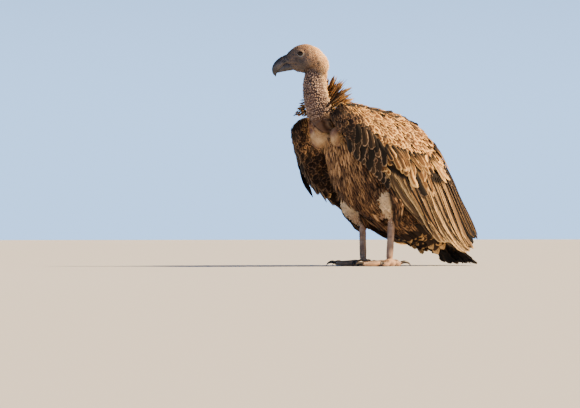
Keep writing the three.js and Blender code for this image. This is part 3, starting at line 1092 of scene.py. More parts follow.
@dataclass(frozen=True)
class Bed:
    """The surface that feathers grow from: a tube, moved in by the coat's depth."""

    tube: Tube
    inset: float
    open_end: bool = False

    def at(self, t: Array, around: Array) -> Array:
        """Points on the bed."""
        return self.tube.surface(t, around, self.inset, self.open_end)

    def slopes(self, t: Array, around: Array) -> tuple[Array, Array, Array]:
        """Finds how the bed runs at places on it.

        Args:
            t: shares along the tube.
            around: angles round it.

        Returns:
            The bed's change with t, its change with the angle, and the unit direction out of it.
        """
        e = 1e-3
        by_t = (self.at(t + e, around) - self.at(t - e, around)) / (2 * e)
        by_turn = (self.at(t, around + e) - self.at(t, around - e)) / (2 * e)
        out = unit(np.cross(by_t, by_turn))
        away = self.at(t, around) - self.tube.spline.point(t)
        return by_t, by_turn, out * np.where(dot(out, away) < 0, -1, 1)[..., None]

    def root(self, t: Array, around: Array) -> Array:
        """Places on the unwrap of the bed, from 0 to 1."""
        turn = np.mod(np.asarray(around) / TAU + 0.5, 1)
        return np.stack([0.02 + 0.96 * turn, 0.02 + 0.96 * np.clip(t, 0, 1)], -1)

    def lattice(
        self, t: tuple, turns: tuple, spacing: tuple | Callable, rng: np.random.Generator
    ) -> tuple[Array, Array]:
        """Roots in staggered rows, a little uneven.

        Args:
            t: the first and last row's place.
            turns: the angles between which each row runs.
            spacing: the distances between rows and along a row, in millimetres, or what gives them at t.
            rng: the source of the unevenness.

        Returns:
            The roots' t and angle.
        """
        rows, here, odd = [], t[0], False
        loose = 0.22
        angles = np.linspace(*turns, 91)
        while here < t[1]:
            line = self.at(np.full_like(angles, here), angles)
            run = np.concatenate([[0], np.cumsum(np.linalg.norm(np.diff(line, axis=0), axis=1))])
            step, gap = spacing(here) if callable(spacing) else spacing
            count = max(2, int(run[-1] / gap))
            place = (np.arange(count) + (0.5 if odd else 0)) / count * run[-1]
            place = place + gap * loose * rng.standard_normal(count)
            step = step / self.tube.spline.length
            shift = step * loose * rng.standard_normal(count)
            rows.append(np.stack([here + shift, np.interp(place, run, angles)], -1))
            here, odd = here + step, not odd
        roots = np.vstack(rows)
        return roots[:, 0], roots[:, 1]

    def follow(
        self,
        t: Array,
        around: Array,
        lie: Callable[[Array], Array],
        length: Array,
        rows: int,
        lift: tuple,
        limits: tuple = (0.004, 0.985),
    ) -> tuple[Spines, Array, Array]:
        """Leads feathers over the bed from their roots, along the lie of the coat.

        Args:
            t: the roots' places along the tube.
            around: the roots' angles.
            lie: gives the coat's direction at a point.
            length: each feather's length, in millimetres.
            rows: the number of points on each line.
            lift: the height over the bed at the root and at the tip.
            limits: the range that t is kept in.

        Returns:
            The lines, and the t and angle of each tip.
        """
        step = np.asarray(length, float) / (rows - 1)
        points, ups = [], []
        t, around = np.array(t, float), np.array(around, float)
        for row in range(rows):
            here = self.at(t, around)
            by_t, by_turn, out = self.slopes(t, around)
            way = lie(here)
            way = unit(way - out * dot(way, out)[..., None])
            height = blend(lift, row / (rows - 1))
            points.append(here + out * np.reshape(height, (-1, 1)))
            ups.append(out)
            tt, aa, ta = dot(by_t, by_t), dot(by_turn, by_turn), dot(by_t, by_turn)
            wt, wa = dot(way, by_t), dot(way, by_turn)
            area = np.maximum(tt * aa - ta**2, 1e-6 * tt * aa + 1e-9)
            move_t = np.clip((wt * aa - wa * ta) / area * step, -0.1, 0.1)
            move_turn = np.clip((wa * tt - wt * ta) / area * step, -0.5, 0.5)
            if row < rows - 1:
                t = np.clip(t + move_t, *limits)
                around = around + move_turn
        return Spines(np.stack(points, 1), np.stack(ups, 1)), t, around


@dataclass(frozen=True)
class VaneFinish:
    """Keratin feather vanes, satin, with fine slanting barbs either side of a shaft.

    Each pair is for the light and the dark kind, mixed by the mesh's shade. The fringe begins at
    fringe_from, as a share of the way from the shaft to the edge or from tip_from to the tip, and
    is full at fringe_full. side_rim is how much the side edges count. barb is the distance between
    barbs, in millimetres, and root the colour at the quill, which has faded out at root_end.
    """

    name: str
    centre: tuple[str, str]
    fringe: tuple[str, str]
    shaft: tuple[str, str]
    fringe_from: tuple[float, float] = (0.55, 0.55)
    fringe_full: tuple[float, float] = (0.9, 0.9)
    tip_from: float = 0.55
    side_rim: float = 1.0
    roughness: float = 0.7
    barb: float = 0.9
    root: str = "#1d1611"
    root_end: float = 0.3

    def build(self) -> Material:
        """Makes the material.

        Returns:
            The material.
        """
        s = Surface(self.name, self.roughness, 0.15)
        place = add(s.tree, "ShaderNodeUVMap", {"uv_map": "Vane"}).outputs[0]
        xyz = add(s.tree, "ShaderNodeSeparateXYZ", {}, {0: place})
        across = s.math("ABSOLUTE", s.math("MULTIPLY_ADD", xyz.outputs[0], 2.0, -1.0))
        along = xyz.outputs[1]
        shade, tint = s.value("shade"), s.value("tint")
        tip = s.math("DIVIDE", s.math("SUBTRACT", along, self.tip_from), 1 - self.tip_from, clamp=True)
        uneven = s.math("MULTIPLY_ADD", s.noise(4), 0.5, -0.25)
        rim = s.math("ADD", s.math("MAXIMUM", s.math("MULTIPLY", across, self.side_rim), tip), uneven)
        rim = s.math("ADD", rim, s.math("MULTIPLY_ADD", tint, 0.2, -0.1))
        pairs = (self.fringe_from, self.fringe_full)
        low, high = (s.math("MULTIPLY_ADD", shade, dark - light, light) for light, dark in pairs)
        fringe = s.ramp(rim, low, high)
        centre = s.mix(shade, *self.centre)
        body = s.mix(fringe, centre, s.mix(shade, *self.fringe))
        stem = s.math("SUBTRACT", 1.0, s.ramp(across, 0.03, 0.12))
        stem = s.math("MULTIPLY", stem, s.math("SUBTRACT", 1.0, s.ramp(along, 0.75, 0.97)))
        body = s.mix(stem, body, s.mix(shade, *self.shaft))
        ribs = s.math("DIVIDE", s.math("MULTIPLY", along, s.value("span")), self.barb / 1000)
        ribs = s.math("SUBTRACT", ribs, s.math("MULTIPLY", across, 2.2))
        ribs = s.math("SINE", s.math("MULTIPLY", ribs, TAU))
        ribs = s.math("MULTIPLY_ADD", ribs, 0.5, 0.5)
        body = s.mix(s.math("MULTIPLY", ribs, 0.14), body, self.centre[1], "MULTIPLY")
        streak = s.ramp(s.noise(9, 2), 0.35, 0.7)
        body = s.mix(s.math("MULTIPLY", streak, 0.25), body, centre)
        body = s.mix(s.ramp(along, self.root_end, 0.04), body, self.root)
        bright = s.math("MULTIPLY_ADD", tint, 0.5, 0.75)
        shine = add(s.tree, "ShaderNodeHueSaturation", {}, {"Value": bright, "Color": body})
        s.colour(shine.outputs[0])
        s.bump(ribs, 0.04)
        return s.material


# ---------------------------------------------------------------- wings


@dataclass(frozen=True)
class Fan:
    """A row of long feathers on a wing, from its first feather to its last.

    Each root and tip is a place along the wing and a height, from -1 at its lower edge to 1 at
    its upper one. width is the half width and lift the height over the bed, in millimetres. rise
    is how much higher a tip lies than its root, uneven how far the tips stray, and roll the turn
    about the shaft, in radians.
    """

    cut: Cut
    count: int
    roots: tuple
    tips: tuple
    width: tuple
    lift: tuple
    shade: tuple
    rise: float = 2.0
    uneven: float = 0.01
    roll: float = 0.0


def fans(cut: Cut, *rows: tuple) -> tuple[Fan, ...]:
    """Fans of one kind of feather, from their other sizes in order."""
    return tuple(Fan(cut, *row) for row in rows)


# Each fan's count, roots, tips, width, lift and shade, then its rise, unevenness and roll.
BLACK_COVERTS = fans(
    PADDLE,
    (6, ((0.13, -0.7), (0.33, -0.8)), ((0.21, -1.42), (0.4, -1.12)), (10, 9), (0, 1), (0.9, 1), 2),
    (6, ((0.08, -0.62), (0.24, -0.8)), ((0.14, -1.5), (0.31, -1.25)), (10, 10), (2, 3), (1, 0.9), 2.5),
    (4, ((0.08, -0.66), (0.18, -0.66)), ((0.13, -1.3), (0.25, -1.1)), (9, 10), (4, 5), (0.8, 1), 3),
    (3, ((0.095, -0.42), (0.15, -0.32)), ((0.15, -0.98), (0.2, -0.78)), (9, 9), (6, 6), (1, 1), 4),
    (4, ((0.13, -0.25), (0.22, -0.5)), ((0.2, -0.66), (0.29, -0.86)), (8, 8), (5, 5), (0.7, 0.9), 3),
    (2, ((0.2, -0.36), (0.25, -0.42)), ((0.28, -0.54), (0.33, -0.62)), (7, 7), (6, 6), (1, 1), 3),
    (1, ((0.4, -0.32), (0.4, -0.3)), ((0.575, -0.5), (0.57, -0.5)), (12, 12), (6, 6), (1, 1), 2, 0.0),
    (5, ((0.42, -0.3), (0.52, 0.1)), ((0.53, -0.5), (0.62, -0.16)), (9, 9), (3.0, 3.0), (0.8, 1), 2),
    (3, ((0.56, 0.3), (0.6, 0.8)), ((0.67, 0.1), (0.72, 0.8)), (9, 9), (3.5, 3.5), (0.9, 1), 2),
)
GREATER_COVERTS = fans(
    PADDLE,
    (6, ((0.25, -0.42), (0.38, -0.26)), ((0.35, -0.58), (0.47, -0.54)), (6, 8), (8, 7), (0.8, 0.3), 4, 0.03),
    (4, ((0.39, -0.2), (0.49, -0.05)), ((0.5, -0.45), (0.59, -0.3)), (8, 7), (5, 5), (0.2, 0.7), 3, 0.04),
    (11, ((0.25, -0.3), (0.48, 0.3)), ((0.33, -0.54), (0.575, 0.2)), (6, 7), (6, 6), (0.6, 0.2), 4, 0.04),
    (6, ((0.49, 0.3), (0.54, 0.92)), ((0.59, 0.3), (0.66, 0.95)), (7, 8), (6, 6), (0.1, 0.5), 4, 0.03),
)
SECONDARIES = fans(
    QUILL,
    (6, ((0.4, -0.62), (0.58, 0.06)), ((0.76, -0.98), (0.975, -0.56)), (2.4, 2.8), (6.5, 7), (1, 1), 2, 0.02),
    (9, ((0.25, -0.92), (0.4, -0.62)), ((0.6, -1), (0.77, -0.84)), (7, 8), (0, 2), (0.5, 0.1), 2, 0.01, 0.3),
    (4, ((0.4, -0.6), (0.46, -0.3)), ((0.78, -0.98), (0.85, -0.7)), (9, 9), (0, 0), (1, 1)),
    (8, ((0.43, -0.48), (0.54, -0.14)), ((0.81, -1), (0.93, -0.76)), (8, 9), (2, 3.5), (0.3, 0), 2)
    + (0.01, 0.3),
    (4, ((0.5, -0.3), (0.56, 0.0)), ((0.9, -0.98), (0.96, -0.7)), (9, 9), (2, 3), (1, 1)),
    (11, ((0.51, -0.18), (0.6, 0.22)), ((0.96, -1), (0.985, -0.42)), (8, 8), (4, 6), (0, 0.3), 2, 0.012, 0.3),
)
PRIMARIES = fans(
    QUILL,
    (6, ((0.56, 0.6), (0.63, 0.97)), ((0.985, 0.3), (1.0, 0.93)), (10, 11), (0, 0), (1, 1)),
    (11, ((0.55, 0.04), (0.63, 0.96)), ((0.955, -0.5), (1, 0.88)), (12, 13), (3, 4.5), (0.9, 1), 2)
    + (0.01, 0.2),
    (3, ((0.6, 0.3), (0.64, 0.8)), ((0.93, 0.0), (0.97, 0.6)), (3.4, 3.4), (6, 6), (0, 0), 2, 0.01, 0.3),
)
SCAPULARS = fans(
    LANCE,
    (8, ((0.02, 0.7), (0.36, 0.94)), ((0.1, 0.84), (0.45, 0.98)), (6, 8), (2, 3), (0.8, 1), 2, 0.02),
    (5, ((0.12, 0.84), (0.4, 0.97)), ((0.18, 0.96), (0.47, 1)), (6, 8), (3, 3), (0.7, 1), 3, 0.02),
)


@dataclass
class Wing:
    """One folded wing: a downy core, its coverts, and the long feathers of its rear edge.

    long is the coverts' length along the wing, in millimetres. cream_from is the height at which
    they turn from dark to cream, along the wing, and coverts_end how far back they reach, from
    the wing's lower edge to its upper one. The lies are the coat's direction, behind and at the
    wrist. hang is how far under the lower edge a height of 1 below it lies.
    """

    side: Side
    stance: Stance
    long: Keys = ((0, 13), (0.06, 15), (0.12, 20), (0.25, 24), (0.4, 29), (0.55, 36), (0.68, 44))
    cream_from: Keys = (
        *((0, 0.72), (0.02, 0.5), (0.065, 0.12), (0.125, -0.1)),
        *((0.17, -0.32), (0.235, -0.5), (0.29, -0.8), (0.34, -1.02)),
    )
    coverts_end: Keys = (
        *((-1, 0.3), (-0.75, 0.32), (-0.6, 0.36), (-0.3, 0.43)),
        *((-0.1, 0.5), (0.25, 0.56), (0.45, 0.61), (1, 0.67)),
    )
    lie: tuple = (-0.13, 0.66, -0.74)
    front_lie: tuple = (0.1, 0.5, -0.86)
    coat: float = 5.0
    hang: float = 60.0

    def __post_init__(self) -> None:
        """Finds the wing's form and the direction of its coat."""
        self.tube = wing_tube(self.side)
        self.bed = Bed(self.tube, self.coat, open_end=True)
        mirror = np.array([self.side.value, 1, 1])
        self.rear_way = unit(self.lie) * mirror
        self.front_way = unit(self.front_lie) * mirror
        self.random = np.random.default_rng(11 if self.side is Side.LEFT else 12)

    def turn(self, height: Array) -> Array:
        """The tube's angle at a height of -1, the lower edge, to 1, the upper edge."""
        return self.side.value * np.arcsin(np.clip(height, -1, 1))

    def height(self, turn: Array) -> Array:
        """The height of an angle of the tube, or over 1 on its inner face."""
        height = np.sin(turn * self.side.value)
        return np.where(np.cos(turn) < 0, np.sign(height) * (2 - np.abs(height)), height)

    def swell(self, t: Array, height: Array) -> Array:
        """How far the wrist's round front stands out of the wing's form, in millimetres."""
        reach = 13 if self.side is Side.LEFT else 3
        return reach * hill(t - 0.04, 0.1) * soft_step(0.75, -0.2, height)

    def coat_way(self, points: Array) -> Array:
        """The lie of the coverts: steep at the wrist, along the folded wing behind it."""
        rear = soft_step(-180, -60, points[..., 1])[..., None]
        return unit(self.front_way * (1 - rear) + self.rear_way * rear)

    def core(self) -> Thing:
        """Makes the wing's downy body, under its coverts.

        Returns:
            The piece.
        """
        form = TubeMesh(self.tube, 40, 48, self.coat + 1.5)
        _, _, out = self.bed.slopes(np.clip(form.t, 0.004, 0.99), form.around)
        form.points = form.points + out * self.swell(form.t, self.height(form.around))[:, None]
        made = form.build(f"wing_core_{self.side.word}", self.stance)
        set_uv(made.data, "OFBake", self.bed.root(form.t, form.around))
        made.data.materials.append(DARK_DOWN.build())
        return finish_piece(made, "coverts")

    def covert_spacing(self, t: float) -> tuple[float, float]:
        """The distances between the coverts' rows and along a row at t."""
        length = float(smooth_keys(self.long, t))
        return 0.4 * length, 0.42 * length

    def coverts(self) -> Thing:
        """Makes the rows of coverts, small and dark at the wrist, cream and longer behind.

        Returns:
            The piece.
        """
        feathers = Feathers(f"coverts_{self.side.word}", 21)
        t, turn = self.bed.lattice((0.0015, 0.66), (-math.pi, math.pi), self.covert_spacing, self.random)
        length = smooth_keys(self.long, t) * self.random.normal(1, 0.14, len(t))
        lift = (0.3, np.minimum(6.5, 1.6 + length * 0.085 * self.random.normal(1, 0.4, len(t))))
        bulge = self.swell(t, self.height(turn))
        lift = (lift[0] + bulge, lift[1] + bulge)
        spines, tip_t, tip_turn = self.bed.follow(t, turn, self.coat_way, length, SCALE.rows, lift)
        tip_height = self.height(tip_turn)
        dark = 1 - soft_step(-0.05, 0.05, tip_height - smooth_keys(self.cream_from, tip_t))
        under = soft_step(0.14, 0.2, tip_t) * dark
        inner = soft_step(1.0, 1.15, np.abs(tip_height))
        kept = tip_t < smooth_keys(self.coverts_end, tip_height) + 0.05 * self.random.random(len(t))
        kept |= (under > 0.5) & (tip_t < 0.36)
        stray = (self.random.random(len(t)) < 0.13) * (0.5 + 0.4 * self.random.random(len(t)))
        shade = np.maximum(dark, np.maximum(stray, 0.75 * inner))
        shade = shade + 0.5 * np.maximum(0, ripple(self.bed.at(t, turn), 40, 29) - 0.15)
        shade = np.clip(shade + 0.16 * self.random.standard_normal(len(t)), 0, 1)
        half = length * np.where(dark > 0.5, 0.34, 0.25) * self.random.normal(1, 0.1, len(t))
        roll = 0.2 * self.random.standard_normal(len(t))
        pick = Spines(spines.points[kept], spines.up[kept])
        root = self.bed.root(t, turn)[kept]
        feathers.lay(pick, half[kept], SCALE, shade[kept], root, roll[kept])
        made = feathers.build(self.stance, COVERT.build())
        return finish_piece(made, "coverts", f"wing_{self.side.word}")

    def fan(self, feathers: Feathers, fan: Fan) -> None:
        """Lays long feathers side by side from one row of roots to one row of tips.

        Args:
            feathers: the piece that they join.
            fan: the row's sizes.
        """
        count, rows = fan.count, fan.cut.rows
        share = np.linspace(0, 1, count)[:, None]
        along = np.linspace(0, 1, rows)[None]
        root = np.array(fan.roots[0]) * (1 - share) + np.array(fan.roots[1]) * share
        tip = np.array(fan.tips[0]) * (1 - share) + np.array(fan.tips[1]) * share
        tip = tip + self.random.normal(0, fan.uneven, tip.shape)
        t = root[:, :1] * (1 - along) + tip[:, :1] * along
        height = root[:, 1:] * (1 - along) + tip[:, 1:] * along
        height = height + 0.05 * self.random.standard_normal((count, 1)) * np.sin(math.pi * along)
        turn = self.turn(height)
        level = blend(fan.lift, share) + fan.rise * along
        _, _, out = self.bed.slopes(np.clip(t, 0.01, 0.99), turn)
        points = self.bed.at(t, turn) + out * (level + self.swell(t, height))[..., None]
        below = np.maximum(0, -1 - height)[..., None] * self.hang
        points = points + below * unit((-0.5 * self.side.value, 0.05, -0.86))
        half = blend(fan.width, share[:, 0]) * self.random.normal(1, 0.05, count)
        tone = blend(fan.shade, share[:, 0]) + 0.2 * self.random.standard_normal(count)
        tone = np.clip(tone, 0, 1)
        place = self.bed.root(root[:, 0], self.turn(root[:, 1]))
        roll = fan.roll + 0.08 * self.random.standard_normal(count)
        feathers.lay(Spines(points, out), half, fan.cut, tone, place, self.side.value * roll)

    def row(
        self, name: str, seed: int, parts: Sequence[Fan], finish: VaneFinish, slot: str, *nodes: str
    ) -> None:
        """Makes one piece of several fans.

        Args:
            name: the piece's name, without its side.
            seed: its fixed seed.
            parts: its fans.
            finish: its finish.
            slot: the slot that is passed on to finish_piece.
            nodes: the nodes that it stands for, without their side.
        """
        feathers = Feathers(f"{name}_{self.side.word}", seed)
        for fan in parts:
            self.fan(feathers, fan)
        made = feathers.build(self.stance, finish.build())
        finish_piece(made, slot, *(f"{node}_{self.side.word}" for node in nodes))

    def alula(self) -> None:
        """The loose black feathers that hang from the right wing's wrist."""
        feathers = Feathers("alula_vanes", 27)
        rows = np.linspace(0, 1, SPIKE.rows)
        lines = (
            ((-128, -150, 280), (-131, -138, 226), (-125, -114, 179), 10.5),
            ((-133, -136, 276), (-135, -122, 240), (-130, -102, 204), 9.0),
            ((-127, -158, 292), (-129, -152, 262), (-127, -140, 232), 9.0),
        )
        points = np.array([Spline(line[:3]).point(rows) for line in lines])
        up = facing(points, (-1, -0.2, 0))
        half = np.array([line[3] for line in lines])
        place = self.bed.root(np.array([0.16, 0.2, 0.12]), self.turn(np.array([-0.98, -0.98, -0.96])))
        feathers.lay(Spines(points, up), half, SPIKE, np.ones(3), place)
        finish_piece(feathers.build(self.stance, FLIGHT.build()), "flight_black", "alula_right")

    def build(self) -> None:
        """Makes the whole wing."""
        self.core()
        self.coverts()
        self.row("black_coverts", 25, BLACK_COVERTS, BLACK_COVERT, "flight_black")
        self.row("greater_coverts", 22, GREATER_COVERTS, GREATER, "coverts")
        self.row("secondary_vanes", 23, SECONDARIES, SECONDARY, "secondaries", "secondaries")
        self.row("primary_vanes", 24, PRIMARIES, FLIGHT, "flight_black", "primaries")
        self.row("scapulars", 26, SCAPULARS, BLACK_COVERT, "coverts")
        if self.side is Side.RIGHT:
            self.alula()


# ---------------------------------------------------------------- tail


@dataclass
class Tail:
    """Twelve worn tail feathers that slope down to the floor."""

    stance: Stance
    count: int = 12
    root_spread: float = 22.0
    tip_spread: float = 64.0
    half_width: float = 17.0

    def build(self) -> None:
        """Makes the tail feathers."""
        feathers = Feathers("tail_vanes", 31)
        rows = RECTRIX.rows
        share = np.linspace(-1, 1, self.count)
        length = 1 - 0.18 * share**2 - 0.03 * (np.arange(self.count) % 2)
        zero = np.zeros(self.count)
        root = np.stack([share * self.root_spread, zero + 150, zero + 108], -1)
        tip = np.stack([share * self.tip_spread, 150 + 163 * length, zero + 2.4], -1)
        middle = root + 0.55 * (tip - root) + [0, 3, 2]
        lines = [Spline(p).point(np.linspace(0, 1, rows)) for p in zip(root, middle, tip)]
        points = np.array(lines)
        over = 3.2 * np.abs(share)
        points[..., 2] += (1 - np.linspace(0, 1, rows)) * (4 - over)[:, None]
        up = facing(points, (0, 0.66, 0.75))
        up[..., 0] += 0.25 * share[:, None]
        place = np.stack([0.35 + 0.2 * share, zero + 0.03], -1)
        shade = 0.55 + 0.3 * feathers.random.random(self.count)
        feathers.lay(Spines(points, up), zero + self.half_width, RECTRIX, shade, place)
        made = feathers.build(self.stance, TAIL.build())
        finish_piece(made, "flight_black", "tail")


# ---------------------------------------------------------------- body plumage


def in_crop(points: Array, margin: float) -> Array:
    """Which points lie within the two crop pads, grown by margin.

    Args:
        points: the points.
        margin: how far the pads are grown, in millimetres.

    Returns:
        True for each point that lies in a pad.
    """
    inside = np.zeros(points.shape[:-1], bool)
    for centre, radii in CROP_PADS:
        away = (points - centre) / (np.array(radii) + margin)
        inside |= dot(away, away) < 1
    return inside


def over_thigh(points: Array, asked: bool) -> Array:
    """Which points lie before the white front of a thigh, where no body feather hangs.

    Args:
        points: the points.
        asked: whether the feathers keep off the thighs at all.

    Returns:
        True for each point that lies there.
    """
    over = np.zeros(len(points), bool)
    for side, reach in ((Side.LEFT, 27), (Side.RIGHT, 76)):
        middle = thigh_tube(side).spline.point(np.linspace(0, 1, 40))
        away = np.linalg.norm(points[:, None] - middle, axis=2)
        before = points[:, 1] < middle[np.argmin(away, axis=1), 1] + 8
        over |= (away.min(1) < reach) & before
    return over & (points[:, 2] < THIGH_TOP) & asked


@dataclass
class BodyPlumage:
    """The feathers of breast, belly and back, and the long ones over thighs and vent."""

    stance: Stance
    coat: float = 7.0
    length: Keys = ((0, 20), (0.15, 24), (0.4, 32), (0.7, 42), (0.95, 50))
    vent_tips: tuple = (
        *((44, 147, 68), (38, 155, 43), (38, 192, 43)),
        *((42, 216, 55), (48, 192, 70), (34, 176, 30)),
    )

    def __post_init__(self) -> None:
        """Sets out the bed."""
        self.bed = Bed(TRUNK, self.coat)
        self.random = np.random.default_rng(41)

    def coat_way(self, points: Array) -> Array:
        """Gives the lie of the body's coat, steepest over the breast.

        Args:
            points: where to read it.

        Returns:
            A unit direction for each point.
        """
        back = soft_step(-150, 60, points[..., 1])[..., None]
        front_way, rear_way = np.array([0, 0.42, -0.9]), np.array([0, 0.72, -0.69])
        return unit(front_way * (1 - back) + rear_way * back)

    def grow(
        self,
        feathers: Feathers,
        bed: Bed,
        roots: tuple,
        length: Array,
        slim: float,
        cut: Cut,
        shade: Array,
        rise: tuple,
        way: tuple | None = None,
    ) -> None:
        """Lays feathers from scattered roots, keeping off the crop.

        Args:
            feathers: the piece that they join.
            bed: what they grow from.
            roots: their places along and round the bed.
            length: their lengths, in millimetres.
            slim: their half width as a share of their length.
            cut: their shape.
            shade: their shades.
            rise: the height of a tip, and its further height for each millimetre of length.
            way: their one direction, or None for the lie of the body's coat.
        """
        t, turn = roots
        uneven = self.random.normal(1, 0.4, len(t))
        lift = (0.5, rise[0] + rise[1] * length * uneven)
        lie = (lambda points: facing(points, way)) if way else self.coat_way
        spines, _, _ = bed.follow(t, turn, lie, length, cut.rows, lift)
        kept = ~in_crop(spines.points[:, cut.rows // 2], 1)
        kept &= ~over_thigh(spines.points[:, -2], way is None)
        half = length * slim * self.random.normal(1, 0.12, len(t))
        roll = 0.3 * self.random.standard_normal(len(t))
        shade = np.clip(shade + 0.14 * self.random.standard_normal(len(t)), 0, 1)
        pick = Spines(spines.points[kept], spines.up[kept])
        feathers.lay(pick, half[kept], cut, shade[kept], bed.root(t, turn)[kept], roll[kept])

    def breast(self) -> None:
        """The streaked feathers of breast and belly: darker down the body, and darker at the sides as painted
        shadow of the wings.
        """
        feathers = Feathers("breast_feathers", 42)
        roots = self.bed.lattice((0.015, 0.9), (-math.pi * 1.02, 0.02), (8.5, 6.6), self.random)
        place = self.bed.at(*roots)
        length = smooth_keys(self.length, roots[0]) * self.random.normal(1, 0.14, len(place))
        # The rise with |x| paints the wings' shadow onto the breast's sides under them.
        shade = 0.22 + 0.6 * soft_step(330, 190, place[:, 2]) + 0.35 * soft_step(48, 88, np.abs(place[:, 0]))
        shade = shade + 0.3 * ripple(place, 30, 43)
        self.grow(feathers, self.bed, roots, length, 0.125, LANCE, shade, (2.5, 0.12))
        finish_piece(feathers.build(self.stance, BODY.build()), "body_feathers")

    def back(self) -> None:
        """The broad dark feathers of back and rump, between the wings."""
        feathers = Feathers("back_feathers", 45)
        roots = self.bed.lattice((0.015, 0.93), (0, math.pi), (12.0, 10.0), self.random)
        length = 6 + smooth_keys(self.length, roots[0]) * self.random.normal(1, 0.12, len(roots[0]))
        shade = 0.55 + 0.4 * ripple(self.bed.at(*roots), 60, 46)
        self.grow(feathers, self.bed, roots, length, 0.24, SCALE, shade, (3, 0.09))
        finish_piece(feathers.build(self.stance, MANTLE.build()), "body_feathers")

    def flanks(self) -> None:
        """The long feathers that hang over the top and the rear of each thigh."""
        feathers = Feathers("flank_feathers", 44)
        for side in Side:
            bed = Bed(thigh_tube(side), -2.0)
            way = (side.value * 0.05, 0.38, -0.92)
            for t, turns, size in (((0.02, 0.72), (-0.3, 3.3), 42), ((0.0, 0.16), (-3.0, -0.3), 24)):
                ends = tuple(side.value * turn for turn in turns)
                roots = bed.lattice(t, ends, (7.5, 5.5), self.random)
                length = size * self.random.normal(1, 0.14, len(roots[0]))
                # These feathers are dark brown, and their high shade also paints the shadow of the wing that
                # hangs over them.
                shade = 0.92 + 0.4 * ripple(bed.at(*roots), 25, 47)
                self.grow(feathers, bed, roots, length, 0.12, LANCE, shade, (3, 0.14), way)
        finish_piece(feathers.build(self.stance, BODY.build()), "body_feathers")

    def vent(self) -> None:
        """The black buff-tipped feathers under the tail's root."""
        feathers = Feathers("vent_feathers", 48)
        bed = Bed(TRUNK, 2.0)
        roots = bed.lattice((0.72, 0.965), (-math.pi * 1.04, 0.5), (16.0, 13.0), self.random)
        length = 44 * self.random.normal(1, 0.12, len(roots[0]))
        shade = 0.3 + 0.5 * self.random.random(len(length))
        self.grow(feathers, bed, roots, length, 0.21, PADDLE, shade, (4, 0.12), (0, 0.86, -0.5))
        share = np.linspace(0, 1, PADDLE.rows)
        for side in Side:
            for tip in self.vent_tips:
                end = np.array(tip, float)
                line = np.array([end + [2, -36, 46], end + [5, -16, 25], end]) * [side.value, 1, 1]
                points = Spline(line).point(share)[None]
                spines = Spines(points, facing(points, (0.75 * side.value, 0.1, -0.4)))
                place = np.array([[0.5 + 0.3 * side.value, 0.95]])
                feathers.lay(spines, np.array([10.5]), PADDLE, np.array([0.0]), place)
        finish_piece(feathers.build(self.stance, VENT.build()), "body_feathers")

    def build(self) -> None:
        """Makes all the body's feathers."""
        self.breast()
        self.back()
        self.flanks()
        self.vent()


# ---------------------------------------------------------------- ruff


@dataclass
class Ruff:
    """The collar of long pointed plumes round the back of the neck's base, in nine rows.

    Each row stands lower and further out than the one above it. The pairs are the values at the
    collar's two ends and at its back.
    """

    stance: Stance
    centre: tuple = (0, -178, 402)
    rows: int = 9
    count: int = 54
    base_height: tuple = (-4.0, 38.0)
    far_rise: float = 40.0
    length: tuple = (32.0, 56.0)
    steepness: tuple = (30.0, 80.0)
    row_drop: float = 5.6
    row_lean: float = 10.0

    def build(self) -> None:
        """Makes the plumes."""
        feathers = Feathers("ruff_plumes", 51)
        rng = np.random.default_rng(52)
        along = np.linspace(0, 1, PLUME.rows)
        for row in range(self.rows):
            turn = np.linspace(-0.12, 0.88, self.count) + rng.normal(0, 0.014, self.count)
            turn[::4] = rng.uniform(-0.12, 0.12, len(turn[::4]))
            away = np.stack([-np.cos(turn * math.pi), np.sin(turn * math.pi), 0 * turn], -1)
            back = np.maximum(0, away[:, 1]) ** 1.5
            far = soft_step(0.35, 0.1, turn)
            radius = 29 + 5.2 * row
            height = blend(self.base_height, back)
            height = height + self.far_rise * far * (1 - back) - self.row_drop * row
            length = blend(self.length, back) * (1 - 0.38 * far) * (1 - 0.06 * row)
            length = length * rng.normal(1, 0.16, self.count)
            steep = blend(self.steepness, back) - self.row_lean * row
            steep = np.radians(np.maximum(steep, -24) + rng.normal(0, 6, self.count))
            root = np.array(self.centre) + away * radius + UPWARD * height[:, None]
            swing = rng.normal(0, 0.16, (self.count, 1)) * np.cross(away, UPWARD)
            level, rise = np.cos(steep)[:, None], np.sin(steep)[:, None]
            way = unit(away * level + UPWARD * rise + swing)
            bend = (away - UPWARD * 0.5) * (0.16 * length)[:, None]
            reach = along[:, None]
            points = root[:, None] + (way * length[:, None])[:, None] * reach + bend[:, None] * reach**2
            up = np.zeros_like(points) + (UPWARD * level - away * rise)[:, None]
            half = (4.4 - 1.2 * far) * rng.normal(1, 0.16, self.count)
            place = np.stack([0.05 + 0.9 * np.clip(turn, 0, 1), np.full(self.count, 0.1 + 0.15 * row)], -1)
            roll = 0.6 * rng.standard_normal(self.count)
            shade = np.clip(0.45 + 0.6 * far + 0.35 * rng.standard_normal(self.count) - 0.08 * row, 0, 1)
            feathers.lay(Spines(points, up), half, PLUME, shade, place, roll)
        made = feathers.build(self.stance, RUFF.build())
        finish_piece(made, "ruff", "ruff")


# ---------------------------------------------------------------- finishes

